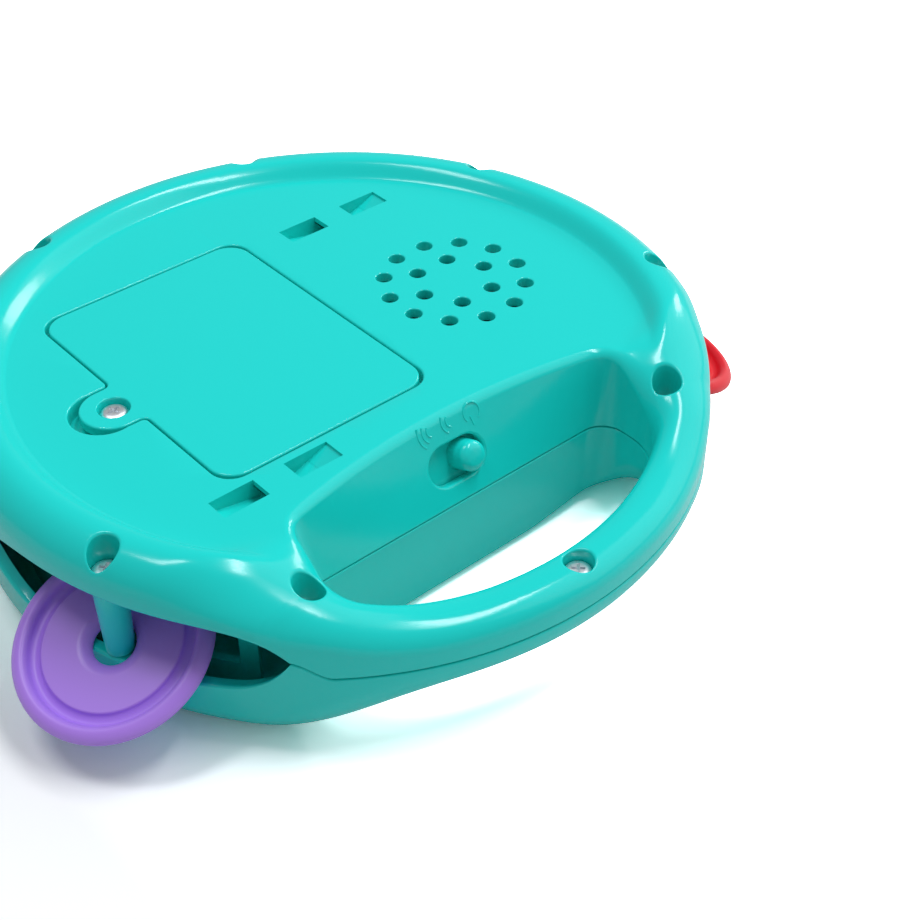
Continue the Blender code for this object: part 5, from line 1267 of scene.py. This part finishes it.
def black_paper(name, colour, fibre_mm):
    """Pressed paper pulp: matt, with short fibres that catch a little light."""
    material, shader, place = new_material(name, {"Base Color": linear(colour), "Roughness": 0.85})
    fibre = add_node(material, "ShaderNodeTexNoise", {"Vector": place, "Scale": 1000.0 / fibre_mm,
                                                      "Detail": 4.0})
    bump = add_node(material, "ShaderNodeBump", {"Height": fibre.outputs["Fac"], "Distance": 0.0001,
                                                 "Strength": 0.6})
    material.node_tree.links.new(bump.outputs["Normal"], shader.inputs["Normal"])
    return material


# Nickel-plated pressed steel, warm and bright; and matt black paper for the cone
pressed_steel = plated_metal("nickel_plated_steel", "#CFCBC2", roughness=0.24, grain_mm=0.9)
dress("speaker_cone", black_paper("black_paper_pulp", "#161616", fibre_mm=0.7))
dress("speaker_frame", pressed_steel)
dress("speaker_magnet", pressed_steel)

# Cells, contacts and springs
# Three AA cells side by side in plain dark wraps, between nickel-plated contact plates and coiled
# springs. The pad's three return springs are of the same wire.

# Dark shrink wrap over a steel can: smooth and half glossy
cell_wrap = moulded_plastic("dark_shrink_wrap", "#2B2D33", roughness=0.33, ior=1.50, wave_mm=6.0,
                            wave_depth_mm=0.01)
for k in (1, 2, 3):
    dress(f"battery_{k}", cell_wrap)
    dress(f"battery_contact_{k}", pressed_steel)
    dress(f"battery_spring_{k}", pressed_steel)
    dress(f"pad_spring_{k}", pressed_steel)

# Drum pad, trim ring and tray
# The pad is white polypropylene, pressed to play, inside a yellow ABS trim ring that the toy lies
# on. A tray behind it carries the board and its lamps.

PAD_RECESS = 0.0004
PAD_FLANGE = 0.0024
PAD_WALL = 0.002
PAD_ROUND = 0.0012
RING_INSET = 0.001
RING_WIDTH = 0.005
RING_EDGE = 0.0002
RING_ROUND_SIDE = 0.0008
RING_ROUND_UP = 0.0007
ROUND_STEPS = 6

pad_radius = DRUM_HOLE_RADIUS - GAP
flange_low = FRONT_TOP + GAP
flange = DRUM_HOLE_RADIUS + PAD_FLANGE
pad_top = flange_low + PAD_RECESS + WALL / 2
pad_in = pad_radius - PAD_WALL
pad_profile = section_line(
    (pad_in, PAD_RECESS), ((pad_radius, PAD_RECESS), (pad_radius, PAD_RECESS + PAD_ROUND), ROUND_STEPS),
    (pad_radius, flange_low), (flange, flange_low), (flange, pad_top), (pad_in, pad_top),
    (pad_in, PAD_RECESS + PAD_WALL))
drum_pad = new_piece("pad", turned(pad_profile, DRUM_FACETS, False, centre=DRUM_AT))
# White polypropylene: pale, a little waxy, with a soft gloss
white_pp = moulded_plastic("white_polypropylene_moulded", "#F1EFE8", roughness=0.42, ior=1.49, wave_mm=5.0,
                           wave_depth_mm=0.01)
smooth_finish(drum_pad, white_pp)
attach(drum_pad, "drum_pad")
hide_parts("drum_pad")
ring_in = DRUM_HOLE_RADIUS + RING_INSET
ring_out = ring_in + RING_WIDTH
ring_top = FRONT_FACE_HEIGHT - GAP
ring_profile = section_line(
    (ring_out, ring_top), (ring_in, ring_top), (ring_in, RING_EDGE), (ring_in + RING_EDGE, 0.0),
    (ring_out - RING_ROUND_SIDE, 0.0), ((ring_out, 0.0), (ring_out, RING_ROUND_UP), ROUND_STEPS))
front_ring = new_piece("trim_ring", turned(ring_profile, DRUM_FACETS, True, centre=DRUM_AT))
# Yellow ABS: satin, like the discs
smooth_finish(front_ring, moulded_plastic("yellow_abs_trim", "#F8C22A", roughness=0.34, ior=1.54, wave_mm=4.0,
                                          wave_depth_mm=0.008))
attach(front_ring, "body")
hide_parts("front_ring")
dress("drum_tray", white_pp)
for k in (1, 2, 3):
    dress(f"lamp_{k}", white_pp)

# Table, light and camera
# The toy lies face down on a white sweep, as for a shop picture. Two long softboxes hang over it
# and draw the streaks on its rim, and two more at the right lift the shadow side.

FLOOR_WHITE = "#DCDDDD"
SWEEP_HALF = 1.2
# Span of the sweep, left to right, over which the camera's view of it is painted brighter, to paint out the
# handle's shadow on the right
PAINTED_LIGHT_LEFT, PAINTED_LIGHT_RIGHT = -0.09, 0.0
GLOW_NEAR, GLOW_FAR = 0.25, 1.2
WORLD_ON_TOY, WORLD_SEEN = 0.28, 1.0
OVERHEAD = 0.9
COOL_WHITE = (0.98, 1.0, 1.05)


def stage_plane(name, size, material):
    mesh_data = bmesh.new()
    bmesh.ops.create_grid(mesh_data, x_segments=1, y_segments=1, size=size)
    mesh = bpy.data.meshes.new(name)
    mesh_data.to_mesh(mesh)
    mesh_data.free()
    mesh.materials.append(material)
    plane = bpy.data.objects.new(name, mesh)
    bpy.context.scene.collection.objects.link(plane)
    plane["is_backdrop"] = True
    return plane


# Matt white paper: it takes the toy's soft shadow and shows no grain, though on the right the handle's shadow
# is painted out
white_sweep = bpy.data.materials.new("white_paper_sweep")
white_sweep.use_nodes = True
tree = white_sweep.node_tree
paper = tree.nodes["Principled BSDF"]
paper.inputs["Base Color"].default_value = linear(FLOOR_WHITE)
paper.inputs["Roughness"].default_value = 0.9
spot = add_node(white_sweep, "ShaderNodeNewGeometry").outputs["Position"]
across = add_node(white_sweep, "ShaderNodeSeparateXYZ", {"Vector": spot}).outputs["X"]
reach = add_node(white_sweep, "ShaderNodeVectorMath", {0: spot}, operation="LENGTH").outputs["Value"]
# What the camera sees is painted brighter towards the right, which paints out the handle's shadow on the
# sweep there while the contact shadow at the left stays dark, and whiter far off, so that the sweep runs out
# into plain white
painted_light_right = add_node(white_sweep, "ShaderNodeMapRange",
                      {"Value": across, "From Min": PAINTED_LIGHT_LEFT, "From Max": PAINTED_LIGHT_RIGHT,
                       "To Min": 1.15, "To Max": 2.8})
far_glow = add_node(white_sweep, "ShaderNodeMapRange",
                    {"Value": reach, "From Min": GLOW_NEAR, "From Max": GLOW_FAR,
                     "To Min": 0.0, "To Max": 18.0})
backdrop_and_painted_light = add_node(white_sweep, "ShaderNodeMath", {0: painted_light_right.outputs["Result"],
                                                      1: far_glow.outputs["Result"]})
bright = add_node(white_sweep, "ShaderNodeBsdfDiffuse", {"Color": backdrop_and_painted_light.outputs["Value"]})
seen = add_node(white_sweep, "ShaderNodeLightPath").outputs["Is Camera Ray"]
choice = add_node(white_sweep, "ShaderNodeMixShader", {0: seen, 1: paper.outputs["BSDF"],
                                                       2: bright.outputs["BSDF"]})
tree.links.new(choice.outputs["Shader"], tree.nodes["Material Output"].inputs["Surface"])
stage_plane("paper_sweep", SWEEP_HALF, white_sweep)

# The world lights the toy faintly from all round and is plain white behind it
world = bpy.data.worlds.new("studio")
bpy.context.scene.world = world
world.use_nodes = True
sky = world.node_tree.nodes["Background"]
sky.inputs["Color"].default_value = (1.0, 1.0, 1.0, 1.0)
seen = add_node(world, "ShaderNodeLightPath").outputs["Is Camera Ray"]
strength = add_node(world, "ShaderNodeMapRange",
                    {"Value": seen, "To Min": WORLD_ON_TOY, "To Max": WORLD_SEEN})
world.node_tree.links.new(strength.outputs["Result"], sky.inputs["Strength"])


def softbox(name, place, target, size_x, size_y, power, roll=0.0, colour=(1.0, 1.0, 1.0)):
    """A panel lamp aimed at its target, turned about its aim by roll degrees."""
    lamp = bpy.data.lights.new(name, "AREA")
    lamp.shape = "RECTANGLE"
    lamp.size = size_x
    lamp.size_y = size_y
    lamp.energy = power
    lamp.color = colour
    light = bpy.data.objects.new(name, lamp)
    bpy.context.scene.collection.objects.link(light)
    light.location = place
    light.rotation_mode = "QUATERNION"
    aim = (Vector(target) - Vector(place)).to_track_quat("-Z", "Y")
    light.rotation_quaternion = aim @ Quaternion((0.0, 0.0, 1.0), math.radians(roll))


# Over the far left of the toy: the streak on the far rim
softbox("far_softbox", (-0.23, 0.20, OVERHEAD), (-0.23, 0.20, 0.0), size_x=0.34, size_y=0.16, power=2.0,
        roll=-15.0, colour=COOL_WHITE)
# Over its near right: the streaks on the bar and on the near rim
softbox("near_strip", (0.25, -0.14, OVERHEAD), (0.1, -0.08, 0.0), size_x=0.56, size_y=0.08, power=3.2,
        roll=-14.0, colour=COOL_WHITE)
# Low at the right: the glints on the crest beside the hand opening
softbox("right_softbox", (0.85, 0.08, 0.42), (0.0, 0.0, 0.0), size_x=0.26, size_y=0.22, power=1.6)
# A large panel at the front right: even light on the near side
softbox("front_right_wall", (0.90, -0.50, 0.72), (0.0, 0.0, 0.0), size_x=1.6, size_y=1.3, power=5.6)

CAMERA_PLACE = Vector((-0.16001, -0.22627, 0.23049))
CAMERA_AIM = Vector((-0.00538, -0.05031, 0.0372))
camera_data = bpy.data.cameras.new("camera")
camera_data.lens = 64.67
camera_data.sensor_width = 36.0
camera_data.clip_start = 0.01
camera_data.clip_end = 20.0
camera = bpy.data.objects.new("camera", camera_data)
bpy.context.scene.collection.objects.link(camera)
camera.location = CAMERA_PLACE
camera.rotation_mode = "QUATERNION"
camera.rotation_quaternion = (CAMERA_AIM - CAMERA_PLACE).to_track_quat("-Z", "Y")
bpy.context.scene.camera = camera
bpy.context.scene.view_settings.view_transform = "Standard"

low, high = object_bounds()
